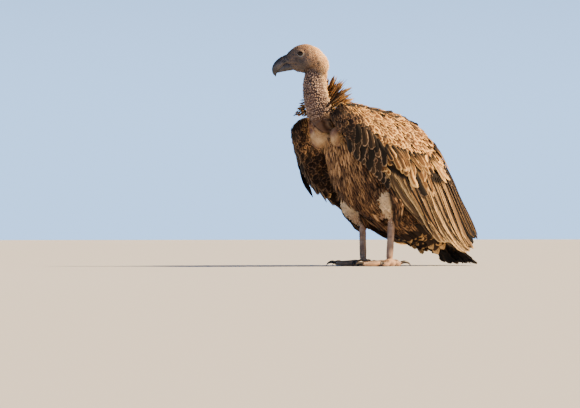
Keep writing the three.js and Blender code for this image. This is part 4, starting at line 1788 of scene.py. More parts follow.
BODY = VaneFinish(
    "lance_feather_keratin", centre=("#c4976a", "#543b2a"), fringe=("#432f21", "#1a1310"),
    shaft=("#d6ab74", "#8a6038"), fringe_from=(0.5, 0.2), fringe_full=(1.0, 0.7), tip_from=0.75,
    barb=0.6, root="#1f150f", root_end=0.45,
)
MANTLE = VaneFinish(
    "mantle_keratin", centre=("#6a4a30", "#241a14"), fringe=("#b08a5e", "#7b5f44"),
    shaft=("#3a281b", "#14100d"), fringe_from=(0.6, 0.7), fringe_full=(0.9, 1.0),
)
COVERT = VaneFinish(
    "covert_keratin", centre=("#6c4625", "#2b1f18"), fringe=("#deb270", "#775c48"),
    shaft=("#5a3e26", "#14100d"), fringe_from=(0.38, 0.66), fringe_full=(0.72, 0.92), tip_from=0.58,
    root_end=0.5,
)
# Its dark root reaches far up each feather: partly the feathers' dark bases, partly painted shade in the gaps
# between them.
GREATER = VaneFinish(
    "greater_covert_keratin", centre=("#8a6238", "#241a14"), fringe=("#e4bc7c", "#9a774e"),
    shaft=("#5a4230", "#1a1310"), fringe_from=(0.25, 0.55), fringe_full=(0.8, 0.9), tip_from=0.68,
    root_end=0.6,
)
BLACK_COVERT = VaneFinish(
    "black_covert_keratin", centre=("#54402e", "#17120f"), fringe=("#a8896a", "#806b59"),
    shaft=("#2a1f18", "#0d0b0a"), fringe_from=(0.68, 0.76), fringe_full=(0.92, 0.96), tip_from=0.78,
)
SECONDARY = VaneFinish(
    "secondary_keratin", centre=("#7d6244", "#1a1411"), fringe=("#dcb982", "#5e4a34"),
    shaft=("#2b1d13", "#0f0c0a"), fringe_from=(0.5, 0.7), fringe_full=(0.95, 1.0), tip_from=0.9,
    barb=0.45, root_end=0.1,
)
FLIGHT = VaneFinish(
    "flight_black_keratin", centre=("#4a392b", "#0f0c0b"), fringe=("#d0aa74", "#2c2019"),
    shaft=("#241c17", "#0c0a09"), fringe_from=(0.6, 0.93), fringe_full=(1.0, 1.04), tip_from=0.97,
    barb=0.2,
)
TAIL = VaneFinish(
    "tail_keratin", centre=("#43342a", "#201813"), fringe=("#6e5439", "#3c2c20"),
    shaft=("#3a2a1f", "#171210"), fringe_from=(0.5, 0.7), fringe_full=(1.0, 1.1), tip_from=0.85,
)
VENT = VaneFinish(
    "vent_keratin", centre=("#33241a", "#191310"), fringe=("#c9a06a", "#9a7449"),
    shaft=("#2a1e16", "#0d0b0a"), fringe_from=(0.3, 0.78), fringe_full=(0.5, 1.0), tip_from=0.62,
    side_rim=0.3,
)
RUFF = VaneFinish(
    "ruff_plume_keratin", centre=("#7c5733", "#1c130e"), fringe=("#e0b67a", "#6d4c30"),
    shaft=("#2c1c12", "#120d0a"), fringe_from=(0.2, 0.5), fringe_full=(0.6, 1.0), tip_from=0.6,
    barb=0.6, root_end=0.2,
)


@dataclass(frozen=True)
class DownFinish:
    """Matted down, which scatters light softly and shows no gloss."""

    name: str
    colour: str
    other: str
    patch: float = 12.0

    def build(self) -> Material:
        """Makes the material.

        Returns:
            The material.
        """
        s = Surface(self.name, 0.95, 0.1)
        s.colour(s.patches(self.patch, self.colour, self.other, 0.15, 4))
        s.bump(s.noise(1.6), 1.2)
        return s.material


DARK_DOWN = DownFinish("dark_under_down", "#1c1511", "#31251c")


# ---------------------------------------------------------------- skin


def ripple(points: Array, wavelength: float, seed: int) -> Array:
    """Makes smooth uneven waves.

    Args:
        points: where to read them.
        wavelength: their length, in millimetres.
        seed: their fixed seed.

    Returns:
        Numbers between about -1 and 1.
    """
    rng = np.random.default_rng(seed)
    total = np.zeros(len(points))
    for _ in range(9):
        way = unit(rng.standard_normal(3)) * TAU / (wavelength * rng.uniform(0.7, 1.4))
        total += np.sin(points @ way + rng.uniform(0, TAU))
    return total / 3.5


def joined(name: str, objects: Sequence[Thing]) -> Thing:
    """Puts several objects' meshes in one object and removes them.

    Args:
        name: the new object's name.
        objects: the objects.

    Returns:
        The new object.
    """
    work = bmesh.new()
    for obj in objects:
        work.from_mesh(obj.data)
        bpy.data.objects.remove(obj)
    mesh = bpy.data.meshes.new(name)
    work.to_mesh(mesh)
    work.free()
    return new_object(name, mesh)


def fused(obj: Thing, cell: float, smoothing: int) -> Thing:
    """Fuses an object's overlapping shells into one even skin.

    Args:
        obj: the object, which is changed.
        cell: the skin's mesh size, in millimetres.
        smoothing: how many times it is smoothed.

    Returns:
        The object.
    """
    remesh = obj.modifiers.new("fuse", "REMESH")
    remesh.mode = "VOXEL"
    remesh.voxel_size = cell / 1000
    smooth = obj.modifiers.new("smooth", "SMOOTH")
    smooth.factor, smooth.iterations = 0.5, smoothing
    bake_modifiers(obj)
    return obj


def united(body: Thing, other: Thing) -> None:
    """Joins another closed object to the body.

    Args:
        body: the body, which is changed.
        other: the object, which is removed.
    """
    cut = body.modifiers.new("join", "BOOLEAN")
    cut.operation, cut.solver, cut.object = "UNION", "MANIFOLD", other
    bake_modifiers(body)
    bpy.data.objects.remove(other)


def egg(name: str, centre: tuple, radii: Array, stance: Stance) -> Thing:
    """Makes a closed egg shape.

    Args:
        name: the object's name.
        centre: its middle, in millimetres.
        radii: its three radii.
        stance: the bird's place in the frame.

    Returns:
        The object.
    """
    mesh = shaped(name, bmesh.ops.create_icosphere, subdivisions=4, radius=1)
    set_places(mesh, stance.to_row(places_of(mesh) * radii + centre))
    return new_object(name, mesh)


@dataclass(frozen=True)
class EyeFrame:
    """The place of one eye, with the ways out of the head, forward and up along its lids."""

    side: Side

    @cached_property
    def centre(self) -> Array:
        """The eyeball's centre."""
        return on_head(EYE_FORWARD, self.side.value * EYE_OUT, EYE_RISE)

    @cached_property
    def axes(self) -> Array:
        """The eye's own axes.

        Returns:
            Rows: forward along the lids, up across them, and out of the head.
        """
        out = unit(self.side.value * LEFTWARD + 0.22 * FORWARD - 0.04 * UPWARD)
        ahead = unit(FORWARD - out * (FORWARD @ out) - 0.1 * UPWARD)
        up = unit(UPWARD - out * (UPWARD @ out) - ahead * (UPWARD @ ahead))
        return np.stack([ahead, up, out])

    def local(self, points: Array) -> Array:
        """Places forward, up and out of the eyeball's centre."""
        return (points - self.centre) @ self.axes.T

    def opening(self, x: Array, y: Array) -> Array:
        """Measures places against the almond between the lids.

        Args:
            x: how far forward of the eye's middle each place is.
            y: how far above it.

        Returns:
            How far inside the opening each place is, negative outside it.
        """
        half = 4.7 * np.maximum(0, 1 - (x / 7.2) ** 2) ** 0.75
        beyond = np.maximum(0, np.abs(x) - 7.0)
        return np.minimum(0.86 * half - y, y + half) - beyond


@dataclass
class Skin:
    """The one skin of head, neck, trunk and legs, lying inside the coat by its depth."""

    stance: Stance
    head_depth: float = 1.4
    neck_depth: float = 0.8
    trunk_depth: float = 9.0
    thigh_depth: float = 7.0
    head_cell: float = 1.25
    trunk_cell: float = 5.0
    leg_cell: float = 1.5

    def __post_init__(self) -> None:
        """Seeds the skin's own unevenness."""
        self.random = np.random.default_rng(65)

    def tube(self, form: Tube, depth: float) -> Thing:
        """A closed shell of one form, inside its coat."""
        return TubeMesh(form, 72, 64, depth).build("form", self.stance)

    def shells(self) -> Thing:
        """Fuses the forms into one closed skin.

        Returns:
            The skin, in its plain form.
        """
        head = joined("skin", [self.tube(HEAD, self.head_depth), self.tube(NECK, self.neck_depth)])
        body = fused(head, self.head_cell, 8)
        pads = [egg("pad", centre, np.array(radii) - 2.5, self.stance) for centre, radii in CROP_PADS]
        thighs = [self.tube(thigh_tube(side), self.thigh_depth) for side in Side]
        trunk = joined("trunk_skin", [self.tube(TRUNK, self.trunk_depth), *pads, *thighs])
        united(body, fused(trunk, self.trunk_cell, 3))
        for side in Side:
            palm = LEGS[side].palm
            forms = [self.tube(shank_tube(side), 0.6)]
            forms += [self.tube(toe_tube(side, name), 0.6) for name in TOES]
            centre = (palm[0], palm[1], PALM_HEIGHT * 0.55)
            forms.append(egg("palm", centre, np.array([15, 17, PALM_HEIGHT * 0.85]) - 0.6, self.stance))
            united(body, fused(joined("leg_skin", forms), self.leg_cell, 3))
        return body

    def refine_lids(self, mesh: Mesh) -> None:
        """Divides the faces round each eye, so that the lids have clean edges.

        Args:
            mesh: the skin, which is changed.
        """
        work = bmesh.new()
        work.from_mesh(mesh)
        for _ in range(2):
            near = []
            points = self.stance.to_bird(np.array([v.co for v in work.verts]))
            for side in Side:
                x, y, z = EyeFrame(side).local(points).T
                near.append((np.hypot(x, y) < 11.5) & (z > -3))
            chosen = near[0] | near[1]
            edges = [e for e in work.edges if all(chosen[v.index] for v in e.verts)]
            bmesh.ops.subdivide_edges(work, edges=edges, cuts=1, use_grid_fill=True, smooth=0.3)
            work.verts.index_update()
        work.to_mesh(mesh)
        work.free()

    def shape_eyes(self, points: Array) -> tuple[Array, dict[str, Array]]:
        """Domes the lids over the eyeballs, opens them, and raises the brows.

        Args:
            points: the skin's places.

        Returns:
            The new places, and how near each is to a lid's edge, to the pale skin under it and to a brow.
        """
        lid, pale, brow = (np.zeros(len(points)) for _ in range(3))
        for side in Side:
            frame = EyeFrame(side)
            x, y, z = frame.local(points).T
            r = np.hypot(x, y)
            zone = (r < 26) & (z > -6)
            cover = EYE_RADIUS + 1.1
            dome = np.sqrt(np.maximum(cover**2 - r**2, 0)) - 30 * np.maximum(0, r - cover)
            new = z + 0.8 * np.log1p(np.exp(np.clip((dome - z) / 0.8, -30, 30)))
            inside = frame.opening(x, y)
            ridge = hill(y - 8.6 + 0.018 * (x - 2) ** 2, 2.6) * hill(x - 1, 11)
            new += 1.3 * ridge - 1.0 * hill(y - 5.6 + 0.03 * x**2, 1.0) * hill(x, 7)
            new -= 0.7 * hill(y + 7.4 - 0.03 * x**2, 0.9) * hill(x, 8)
            new -= 1.2 * hill(r - 15, 5) * (y < 6)
            new += 0.7 * hill(inside + 0.9, 0.8) * (r < 12)
            new = np.where(inside > -0.15, np.minimum(new, 8.8 - 9 * soft_step(-0.15, 0.75, inside)), new)
            moved = points + frame.axes[2] * (new - z)[:, None]
            points = np.where(zone[:, None], moved, points)
            lid = np.maximum(lid, zone * hill(inside + 0.4, 1.2))
            pale = np.maximum(pale, zone * hill(inside + 3.0, 1.6) * soft_step(1.5, -1.5, y))
            brow = np.maximum(brow, zone * ridge)
        return points, {"lid": lid, "crescent": pale, "brow": brow}

    def shape(self, points: Array, normals: Array) -> tuple[Array, Array]:
        """Adds the folds, hollows and wrinkles of face, neck and crop.

        Args:
            points: the skin's places.
            normals: its normals.

        Returns:
            The new places, and how far each lies on one of the neck's granules.
        """
        move = self.face_relief(points)
        granule = self.add_neck_relief(points, move)
        return points + normals * move[:, None], granule

    def face_relief(self, points: Array) -> Array:
        """Shapes the face: its wrinkles, gape, ear, hollow before the eye and full cheek.

        Args:
            points: the skin's places.

        Returns:
            How far each place moves out, in millimetres.
        """
        f, side, u = head_places(points)
        face = soft_step(452, 478, points[:, 2])
        move = 0.5 * ripple(points, 13, 61) * face
        move += 0.35 * ripple(points, 6, 62) * face
        move -= 1.3 * hill(u + 14.5 + 0.05 * (f - 44), 1.5) * soft_step(28, 38, f) * face
        move += 0.6 * hill(u + 18, 2.2) * soft_step(26, 38, f) * face
        move -= 1.8 * spot(f, u, EAR, (3, 4)) * face
        rim = hill(np.hypot((f - EAR[0]) / 3.4, (u - EAR[1]) / 4.2) - 1.8, 0.45)
        move += 0.6 * rim * face * (np.abs(side) > 12)
        move -= 1.6 * spot(f, u, (38, 4), (9, 7)) * face
        move += 1.6 * spot(f, u, (4, -12), (12, 12)) * face
        return move

    def add_neck_relief(self, points: Array, move: Array) -> Array:
        """Adds the neck's folds, wrinkles and granules and the cleft between the crop pads.

        Args:
            points: the skin's places.
            move: how far each place moves out, which is added to.

        Returns:
            How far each place lies on one of the granules.
        """
        neck = (1 - on_face(points)) * soft_step(-60, -100, points[:, 1])
        neck *= soft_step(352, 372, points[:, 2]) * (np.abs(points[:, 0]) < 60)
        turn = np.arctan2(points[:, 0], -(points[:, 1] + 190))
        bend = 0.25 * ripple(points, 40, 63)
        fold = np.sin(TAU * (points[:, 2] / 15 + 0.35 * np.cos(turn * 1.5) + bend))
        low = soft_step(430, 375, points[:, 2])
        move += neck * (0.3 + 0.8 * low) * np.sign(fold) * np.abs(fold) ** 0.8 * 0.8
        move += neck * 0.6 * ripple(points, 9, 64)
        bed = Bed(NECK, self.neck_depth)
        seeds = bed.at(*bed.lattice((0.03, 0.97), (-math.pi, math.pi), (5.0, 4.6), self.random))
        granule = neck * soft_step(2.5, 0.3, distance_to(points, seeds)) * soft_step(362, 384, points[:, 2])
        move += 1.5 * granule
        cleft = hill(funnel_edge(points), 5) * soft_step(392, 372, points[:, 2]) * (points[:, 1] < CROP_REAR)
        move -= 8.0 * cleft * soft_step(300, 325, points[:, 2])
        return granule

    def markings(self, mesh: Mesh, points: Array, marks: dict[str, Array]) -> None:
        """Writes the masks that colour the skin and its down, and the unwrap of the skin.

        Args:
            mesh: the skin.
            points: its places.
            marks: the masks found while it was shaped.
        """
        f, side, u = head_places(points)
        x, y, z = points.T
        head = on_face(points)
        warm = 0.345 - 0.0128 * f + 0.008 * np.clip(u, -15, 40)
        behind = y + 194 - 0.36 * (455 - z)
        nape = soft_step(9, 30, behind) * soft_step(352, 395, z) * (z < 520) * (np.abs(x) < 60)
        collar = soft_step(384, 358, z - 0.35 * np.abs(x)) * soft_step(335, 350, z) * (y < -110)
        crop = in_crop(points, 5) * soft_step(390, 372, z)
        funnel = soft_step(0, 5, -funnel_edge(points)) * (y < CROP_REAR)
        # The cleft mask paints shade down the groove between the crop pads.
        cleft = hill(funnel_edge(points), 5) * soft_step(390, 374, z) * soft_step(318, 330, z)
        values = {
            **marks,
            "head": head,
            "warm": np.clip(warm, 0, 1) * head,
            "nape": nape,
            "crop": np.clip(crop + collar, 0, 1) * (1 - funnel),
            "low": soft_step(396, 366, z),
            "cleft": cleft * (y < CROP_REAR),
            "leg": soft_step(150, 120, z) * (np.abs(x) > 25),
            "thigh": self.on_thigh(mesh, points),
            # ear: where the ear opening's hollow gets its painted shade.
            "ear": spot(f, u, EAR, (3.6, 4.6)) * head * (np.abs(side) > 10),
        }
        for name, value in values.items():
            set_value(mesh, name, value)
        set_value(mesh, "unwrap", self.unwrap(points))

    def on_thigh(self, mesh: Mesh, points: Array) -> Array:
        """Finds the white front and inner side of each thigh.

        Args:
            mesh: the skin.
            points: its places.

        Returns:
            How white each place is, from 0 to 1.
        """
        normals = normals_of(mesh)
        white = np.zeros(len(points))
        for side in Side:
            form = thigh_tube(side)
            share = np.linspace(0, 1, 60)
            middle = form.spline.point(share)
            away = np.linalg.norm(points[:, None] - middle, axis=2)
            nearest = np.argmin(away, axis=1)
            on_leg = away.min(1) < smooth_keys(form.side, share[nearest]) + 2.5
            front = soft_step(0.42, 0.15, normals @ np.array([0.574 * side.value, 0.819, 0]))
            white = np.maximum(white, on_leg * front * soft_step(200, 186, points[:, 2]))
        return white * soft_step(96, 104, points[:, 2])

    def unwrap(self, points: Array) -> Array:
        """Lays the skin flat: the turn round the nearest limb's line and the share along it.

        Args:
            points: the skin's places.

        Returns:
            A vector for each place, whose first two numbers run from 0 to 1.
        """
        spine = (*TRUNK.path[:0:-1], *NECK.path[-2:0:-1], *head_line((-20, -12), (60, -9)))
        flat = self.wind(points, spine, (0.02, 0.02), (0.66, 0.96))
        for row, side in enumerate(Side):
            limb = self.wind(points, LEGS[side].line, (0.72, 0.02 + 0.5 * row), (0.26, 0.46))
            on_leg = (points[:, 2] < 185) & (points[:, 0] * side.value > 25)
            flat = np.where(on_leg[:, None], limb, flat)
        return flat

    def wind(self, points: Array, line: tuple, corner: tuple, size: tuple) -> Array:
        """Winds a tile of the unwrap round a line.

        Args:
            points: the skin's places.
            line: the points of the line.
            corner: the tile's first corner.
            size: the tile's width and height.

        Returns:
            For each place the turn round the line, the share along it, and 0.
        """
        spline = Spline(line)
        share = np.linspace(0, 1, 120)
        middle = spline.point(share)
        nearest = np.argmin((middle**2).sum(1) - 2 * points @ middle.T, axis=1)
        away = points - middle[nearest]
        across = np.array([1.0, 0, 0])
        upright = np.cross(spline.tangent(share[nearest]), across)
        angle = np.arctan2(dot(away, upright), away @ across) / TAU + 0.5
        along = corner[1] + size[1] * share[nearest]
        return np.stack([corner[0] + size[0] * angle, along, 0 * angle], -1)

    def build(self) -> Thing:
        """Makes the skin.

        Returns:
            The skin.
        """
        body = self.shells()
        self.refine_lids(body.data)
        points = self.stance.to_bird(places_of(body.data))
        points, granule = self.shape(points, normals_of(body.data))
        points, marks = self.shape_eyes(points)
        points[:, 2] = np.maximum(points[:, 2], 0.0)
        set_places(body.data, self.stance.to_row(points))
        body.data.shade_smooth()
        self.markings(body.data, points, {"granule": granule, **marks})
        body.data.materials.clear()
        body.data.materials.append(skin_finish())
        flesh = ["head", "neck", "trunk"]
        for part in ("thigh", "shank", "foot", *(f"toe_{name}" for name in TOES)):
            flesh += [f"{part}_{side.word}" for side in Side]
        return finish_piece(body, "neck_skin", *flesh)


def on_face(points: Array) -> Array:
    """Finds the downy head, above the slanting edge of the bare neck.

    Args:
        points: the skin's places.

    Returns:
        How far each place lies on the head, from 0 to 1.
    """
    f, _, u = head_places(points)
    above = soft_step(486, 506, points[:, 2] + 0.45 * (points[:, 1] + 200))
    return np.maximum(above, soft_step(2, 14, f) * soft_step(-42, -35, u))


def funnel_edge(points: Array) -> Array:
    """How far each place lies outside the point that ends the bare neck between the crop pads."""
    x, _, z = points.T
    return np.abs(x - 8 - 0.3 * (372 - z)) - 0.45 * (z - 322)


def distance_to(points: Array, seeds: Array) -> Array:
    """Measures how close points lie to seeds.

    Args:
        points: the points.
        seeds: the seeds.

    Returns:
        The distance from each point to the nearest seed.
    """
    tree = KDTree(len(seeds))
    for index, seed in enumerate(seeds):
        tree.insert(seed, index)
    tree.balance()
    return np.array([tree.find(p)[2] for p in points])


def hide_colour(s: Surface) -> Socket:
    """Mixes the colours of face, nape, neck, crop and legs, which the skin and its down share, with painted
    shade in the cleft between the crop pads and in the ear.

    Args:
        s: the finish that they are for.

    Returns:
        The colour.
    """
    warm = s.value("warm")
    face = s.patches(9, "#423936", "#5b4d47")
    cheek = s.patches(7, "#8a6d57", "#a88a6e")
    behind = s.patches(8, "#efc48e", "#f8deb4")
    downy = s.mix(s.ramp(warm, 0.02, 0.5), face, cheek)
    downy = s.mix(s.ramp(warm, 0.42, 0.95), downy, behind)
    neck = s.patches(16, "#4c352d", "#2f1e1b", 0.15)
    bead = s.patches(12, "#bda28e", "#8c7263", 0.15)
    neck = s.mix(s.value("low"), neck, "#4a3225")
    neck = s.mix(s.ramp(s.value("granule"), 0.25, 0.8), neck, bead)
    tan = s.patches(12, "#9a7855", "#c6a77f")
    tan = s.mix(s.ramp(s.noise(22, 2), 0.46, 0.64), tan, "#7c5c50")
    body = s.mix(s.value("crop"), neck, tan)
    body = s.mix(s.value("nape"), body, s.patches(8, "#f2ca92", "#fae0b2"))
    body = s.mix(s.value("head"), body, downy)
    # Painted shade: dark brown down the groove between the crop pads.
    body = s.mix(s.value("cleft"), body, "#2c1c14")
    body = s.mix(s.math("MULTIPLY", s.value("brow"), 0.2), body, "#9a8470")
    # The ear's brown paints the shade inside the ear opening's hollow.
    for mark, colour in (("crescent", "#68707b"), ("lid", "#1f1d20"), ("ear", "#58402f")):
        body = s.mix(s.value(mark), body, colour)
    return s.mix(s.value("thigh"), body, s.patches(14, "#c8ae8c", "#e4d0b2"))


def skin_finish() -> Material:
    """Bare purple-brown neck skin, a downy head and horny legs: matt, with fine pores.

    Returns:
        The material.
    """
    s = Surface("vulture_skin", 0.6, 0.35)
    horn = s.patches(10, "#967660", "#b8957a")
    s.colour(s.mix(s.value("leg"), hide_colour(s), horn))
    s.bump(s.noise(1.2), 0.4)
    return s.material


def down_finish() -> Material:
    """Soft down barbs in the skin's own colours, paler at their tips: dry, without gloss.

    Returns:
        The material.
    """
    s = Surface("down_barbs", 0.95, 0.1)
    tone = s.math("MULTIPLY_ADD", s.value("tip"), 0.45, 0.95)
    shine = add(s.tree, "ShaderNodeHueSaturation", {}, {"Value": tone, "Color": hide_colour(s)})
    s.colour(shine.outputs[0])
    return s.material


# ---------------------------------------------------------------- down


@dataclass(frozen=True)
class DownRegion:
    """One region of down.

    down is how thickly it grows and reach how long it is, in millimetres, at each place of the
    skin. lie is its direction, spacing the distance between tufts, in millimetres, and lean how
    far they lie over.
    """

    name: str
    slot: str
    down: Array
    reach: Array
    lie: Sequence
    tuft: Thing
    spacing: float
    lean: float
    seed: int


@dataclass
class Down:
    """Down on one region of the skin, in tufts of fine barbs that Geometry Nodes set out."""

    stance: Stance
    sides: int = 3

    def tuft(self, barbs: int, levels: tuple) -> Thing:
        """One tuft of tapered barbs, a metre long, standing on its root.

        Args:
            barbs: how many there are.
            levels: the heights and radii of a barb's rings below its tip.

        Returns:
            The tuft.
        """
        rng = np.random.default_rng(71)
        points, faces, tips = [], [], []
        angle = np.linspace(0, TAU, self.sides, endpoint=False)
        for barb in range(barbs):
            turn = TAU * barb / barbs + rng.uniform(-0.4, 0.4)
            lean, reach = rng.uniform(0.1, 0.42), rng.uniform(0.75, 1.1)
            start = len(points)
            for level, radius in (*levels, (1.0, 0.0)):
                bow = lean * level**1.6
                middle = np.array([math.cos(turn) * bow, math.sin(turn) * bow, level * reach])
                for a in angle if radius else [0.0]:
                    points.append(middle + radius * np.array([math.cos(a), math.sin(a), 0]))
                    tips.append(level)
            n, top = self.sides, start + self.sides * len(levels)
            for k in range(n):
                after = (k + 1) % n
                for low in range(start, top - n, n):
                    faces.append((low + k, low + after, low + n + after))
                    faces.append((low + k, low + n + after, low + n + k))
                faces.append((top - n + k, top - n + after, top))
            faces += [(start, start + k + 1, start + k) for k in range(1, n - 1)]
        mesh = new_mesh("tuft", np.array(points), [np.array(faces)])
        set_value(mesh, "tip", np.array(tips))
        spread = np.array(points)[:, :2] + 0.5
        set_uv(mesh, "Lock", np.clip(spread, 0, 1))
        return new_object("tuft", mesh)

    def tree(self) -> bpy.types.NodeTree:
        """Makes the node tree that sets tufts out on a surface, by its own down, reach and lie.

        Returns:
            The tree.
        """
        tree = bpy.data.node_groups.new("down_tufts", "GeometryNodeTree")
        kinds = {"Geometry": "Geometry", "Tuft": "Object", "Finish": "Material", "Seed": "Int"}
        kinds |= {"Spacing": "Float", "Lean": "Float", "Patch": "Float"}
        for name, kind in kinds.items():
            tree.interface.new_socket(name, in_out="INPUT", socket_type=f"NodeSocket{kind}")
        tree.interface.new_socket("Geometry", in_out="OUTPUT", socket_type="NodeSocketGeometry")
        given = add(tree, "NodeGroupInput").outputs

        def named(name: str, kind: str) -> Socket:
            """The surface's own value of that name."""
            node = add(tree, "GeometryNodeInputNamedAttribute", {"data_type": kind}, {"Name": name})
            return node.outputs["Attribute"]

        def number(operation: str, *values: object) -> Socket:
            """A product, power or other operation on numbers."""
            return add(tree, "ShaderNodeMath", {"operation": operation}, dict(enumerate(values))).outputs[0]

        def vector(operation: str, *values: object) -> Socket:
            """Adds an operation on vectors.

            Args:
                operation: its name.
                values: its values, as sockets or as vectors.

            Returns:
                The result.
            """
            node = add(tree, "ShaderNodeVectorMath", {"operation": operation})
            for socket, value in zip([s for s in node.inputs if s.enabled], values):
                if isinstance(value, Socket):
                    tree.links.new(value, socket)
                else:
                    socket.default_value = value
            return node.outputs[0]

        inputs = {
            "Mesh": given["Geometry"],
            "Distance Min": given["Spacing"],
            "Density Max": number("MULTIPLY", number("POWER", given["Spacing"], -2.0), 1.6),
            "Density Factor": named("down", "FLOAT"),
            "Seed": given["Seed"],
        }
        settings = {"distribute_method": "POISSON"}
        spots = add(tree, "GeometryNodeDistributePointsOnFaces", settings, inputs).outputs
        way = vector("ADD", vector("SCALE", named("lie", "FLOAT_VECTOR"), given["Lean"]), spots["Normal"])
        upright = add(tree, "FunctionNodeAlignRotationToVector", {"axis": "Z"}, {"Vector": way}).outputs[0]
        inputs = {"Max": TAU, "Seed": given["Seed"]}
        spin = add(tree, "FunctionNodeRandomValue", {"data_type": "FLOAT"}, inputs).outputs["Value"]
        spin = add(tree, "ShaderNodeCombineXYZ", {}, {"Z": spin}).outputs[0]
        spin = add(tree, "FunctionNodeEulerToRotation", {}, {0: spin}).outputs[0]
        inputs = {"Rotation": upright, "Rotate By": spin}
        turned = add(tree, "FunctionNodeRotateRotation", {"rotation_space": "LOCAL"}, inputs).outputs[0]
        inputs = {"Min": 0.7, "Max": 1.3, "Seed": 5}
        size = add(tree, "FunctionNodeRandomValue", {"data_type": "FLOAT"}, inputs).outputs["Value"]
        tuft = add(tree, "GeometryNodeObjectInfo", {}, {"Object": given["Tuft"]}).outputs["Geometry"]
        inputs = {"Points": spots["Points"], "Instance": tuft, "Rotation": turned}
        inputs["Scale"] = number("MULTIPLY", size, named("reach", "FLOAT"))
        made = add(tree, "GeometryNodeInstanceOnPoints", {}, inputs).outputs[0]
        made = add(tree, "GeometryNodeRealizeInstances", {}, {0: made}).outputs[0]
        lock = vector("SUBTRACT", named("Lock", "FLOAT_VECTOR"), (0.5, 0.5, 0.0))
        place = vector("ADD", named("unwrap", "FLOAT_VECTOR"), vector("SCALE", lock, given["Patch"]))
        settings = {"data_type": "FLOAT2", "domain": "CORNER"}
        inputs = {"Geometry": made, "Name": "OFBake", "Value": place}
        made = add(tree, "GeometryNodeStoreNamedAttribute", settings, inputs).outputs[0]
        inputs = {"Geometry": made, "Material": given["Finish"]}
        made = add(tree, "GeometryNodeSetMaterial", {}, inputs).outputs[0]
        add(tree, "NodeGroupOutput", {}, {0: made})
        return tree

    def grow(self, skin: Thing, region: DownRegion) -> None:
        """Grows the down of one region as a plain mesh.

        Args:
            skin: the bird's skin.
            region: the region.
        """
        mesh = skin.data.copy()
        set_value(mesh, "down", region.down)
        set_value(mesh, "reach", region.reach / 1000)
        set_value(mesh, "lie", np.tile(unit(region.lie), (len(mesh.vertices), 1)))
        work = new_object(region.name, mesh)
        modifier = work.modifiers.new("down", "NODES")
        modifier.node_group = self.nodes
        sockets = {s.name: s.identifier for s in self.nodes.interface.items_tree if s.in_out == "INPUT"}
        values = {
            "Tuft": region.tuft,
            "Finish": self.material,
            "Spacing": region.spacing / 1000,
            "Lean": region.lean,
            "Patch": PATCH,
            "Seed": region.seed,
        }
        for key, value in values.items():
            modifier[sockets[key]] = value
        bake_modifiers(work)
        finish_piece(work, region.slot)

    def build(self, skin: Thing) -> None:
        """Makes the down of head, neck and thighs.

        Args:
            skin: the bird's skin, with its markings.
        """
        self.nodes, self.material = self.tree(), down_finish()
        short, full = self.tuft(5, ((0.0, 0.06),)), self.tuft(6, ((0.0, 0.045), (0.5, 0.05)))
        points = self.stance.to_bird(places_of(skin.data))
        mask = {}
        for name in ("head", "warm", "nape", "crop", "thigh", "lid", "crescent", "ear", "cleft"):
            flat = np.empty(len(points), np.float32)
            skin.data.attributes[name].data.foreach_get("value", flat)
            mask[name] = flat.astype(float)
        f, _, _ = head_places(points)
        z = points[:, 2]
        bare = np.clip(mask["lid"] + mask["crescent"] + mask["ear"], 0, 1)
        soft = np.maximum(mask["nape"], mask["crop"])
        fluff = mask["crop"] * soft_step(352, 372, z)
        head = mask["head"] * (1 - bare) * soft_step(62, 50, f)
        neck = soft * (1 - mask["head"]) * (1 - 0.8 * mask["cleft"])
        thigh = mask["thigh"] * soft_step(104, 112, z)
        reach = 1.3 + 3.0 * mask["warm"], 4.5 + 7 * fluff + 3 * mask["nape"], 6 + 2.5 * soft_step(120, 150, z)
        back = UPWARD * -0.55 - FORWARD
        for region in (
            DownRegion("head_down", "head_down", head, reach[0], back, short, 1.2, 2.0, 72),
            DownRegion("neck_down", "head_down", neck, reach[1], (0, 0.15, -1), full, 3.2, 1.5, 73),
            DownRegion("thigh_down", "thigh_down", thigh, reach[2], (0, 0.2, -1), full, 3.6, 2.2, 74),
        ):
            self.grow(skin, region)
        for tuft in (short, full):
            bpy.data.objects.remove(tuft)


# ---------------------------------------------------------------- eyes, bill and claws


@dataclass
class Eyes:
    """The two dark brown eyeballs, each with a wet, slightly domed cornea."""

    stance: Stance
    pupil: float = 2.4
    iris: float = 5.6

    def finish(self) -> Material:
        """A wet cornea over a dark brown iris: mirror-smooth, with a clear coat.

        Returns:
            The material.
        """
        s = Surface("wet_cornea", 0.1, 0.12)
        ring = s.value("ring")
        iris = s.patches(0.9, "#170e09", "#2b1a10")
        colour = s.mix(s.ramp(ring, self.iris - 0.3, self.iris + 0.3), iris, "#3a302c")
        s.colour(s.mix(s.ramp(ring, self.pupil - 0.2, self.pupil + 0.2), "#050404", colour))
        s.shader.inputs["Coat Weight"].default_value = 0.15
        s.shader.inputs["Coat Roughness"].default_value = 0.03
        return s.material

    def build(self) -> None:
        """Makes both eyes."""
        material = self.finish()
        for side in Side:
            frame = EyeFrame(side)
            sizes = {"u_segments": 48, "v_segments": 32, "radius": EYE_RADIUS - 0.15}
            mesh = shaped(f"eyeball_{side.word}", bmesh.ops.create_uvsphere, **sizes)
            local = places_of(mesh)
            ring = np.hypot(local[:, 0], local[:, 1]) + 20 * (local[:, 2] < 0)
            local[:, 2] += 0.5 * soft_step(6.2, 3.5, ring)
            set_places(mesh, self.stance.to_row(local @ frame.axes + frame.centre))
            if np.linalg.det(frame.axes) < 0:
                mesh.flip_normals()
            set_value(mesh, "ring", ring)
            mesh.shade_smooth()
            mesh.materials.append(material)
            finish_piece(new_object(mesh.name, mesh), "eye", f"eye_{side.word}")


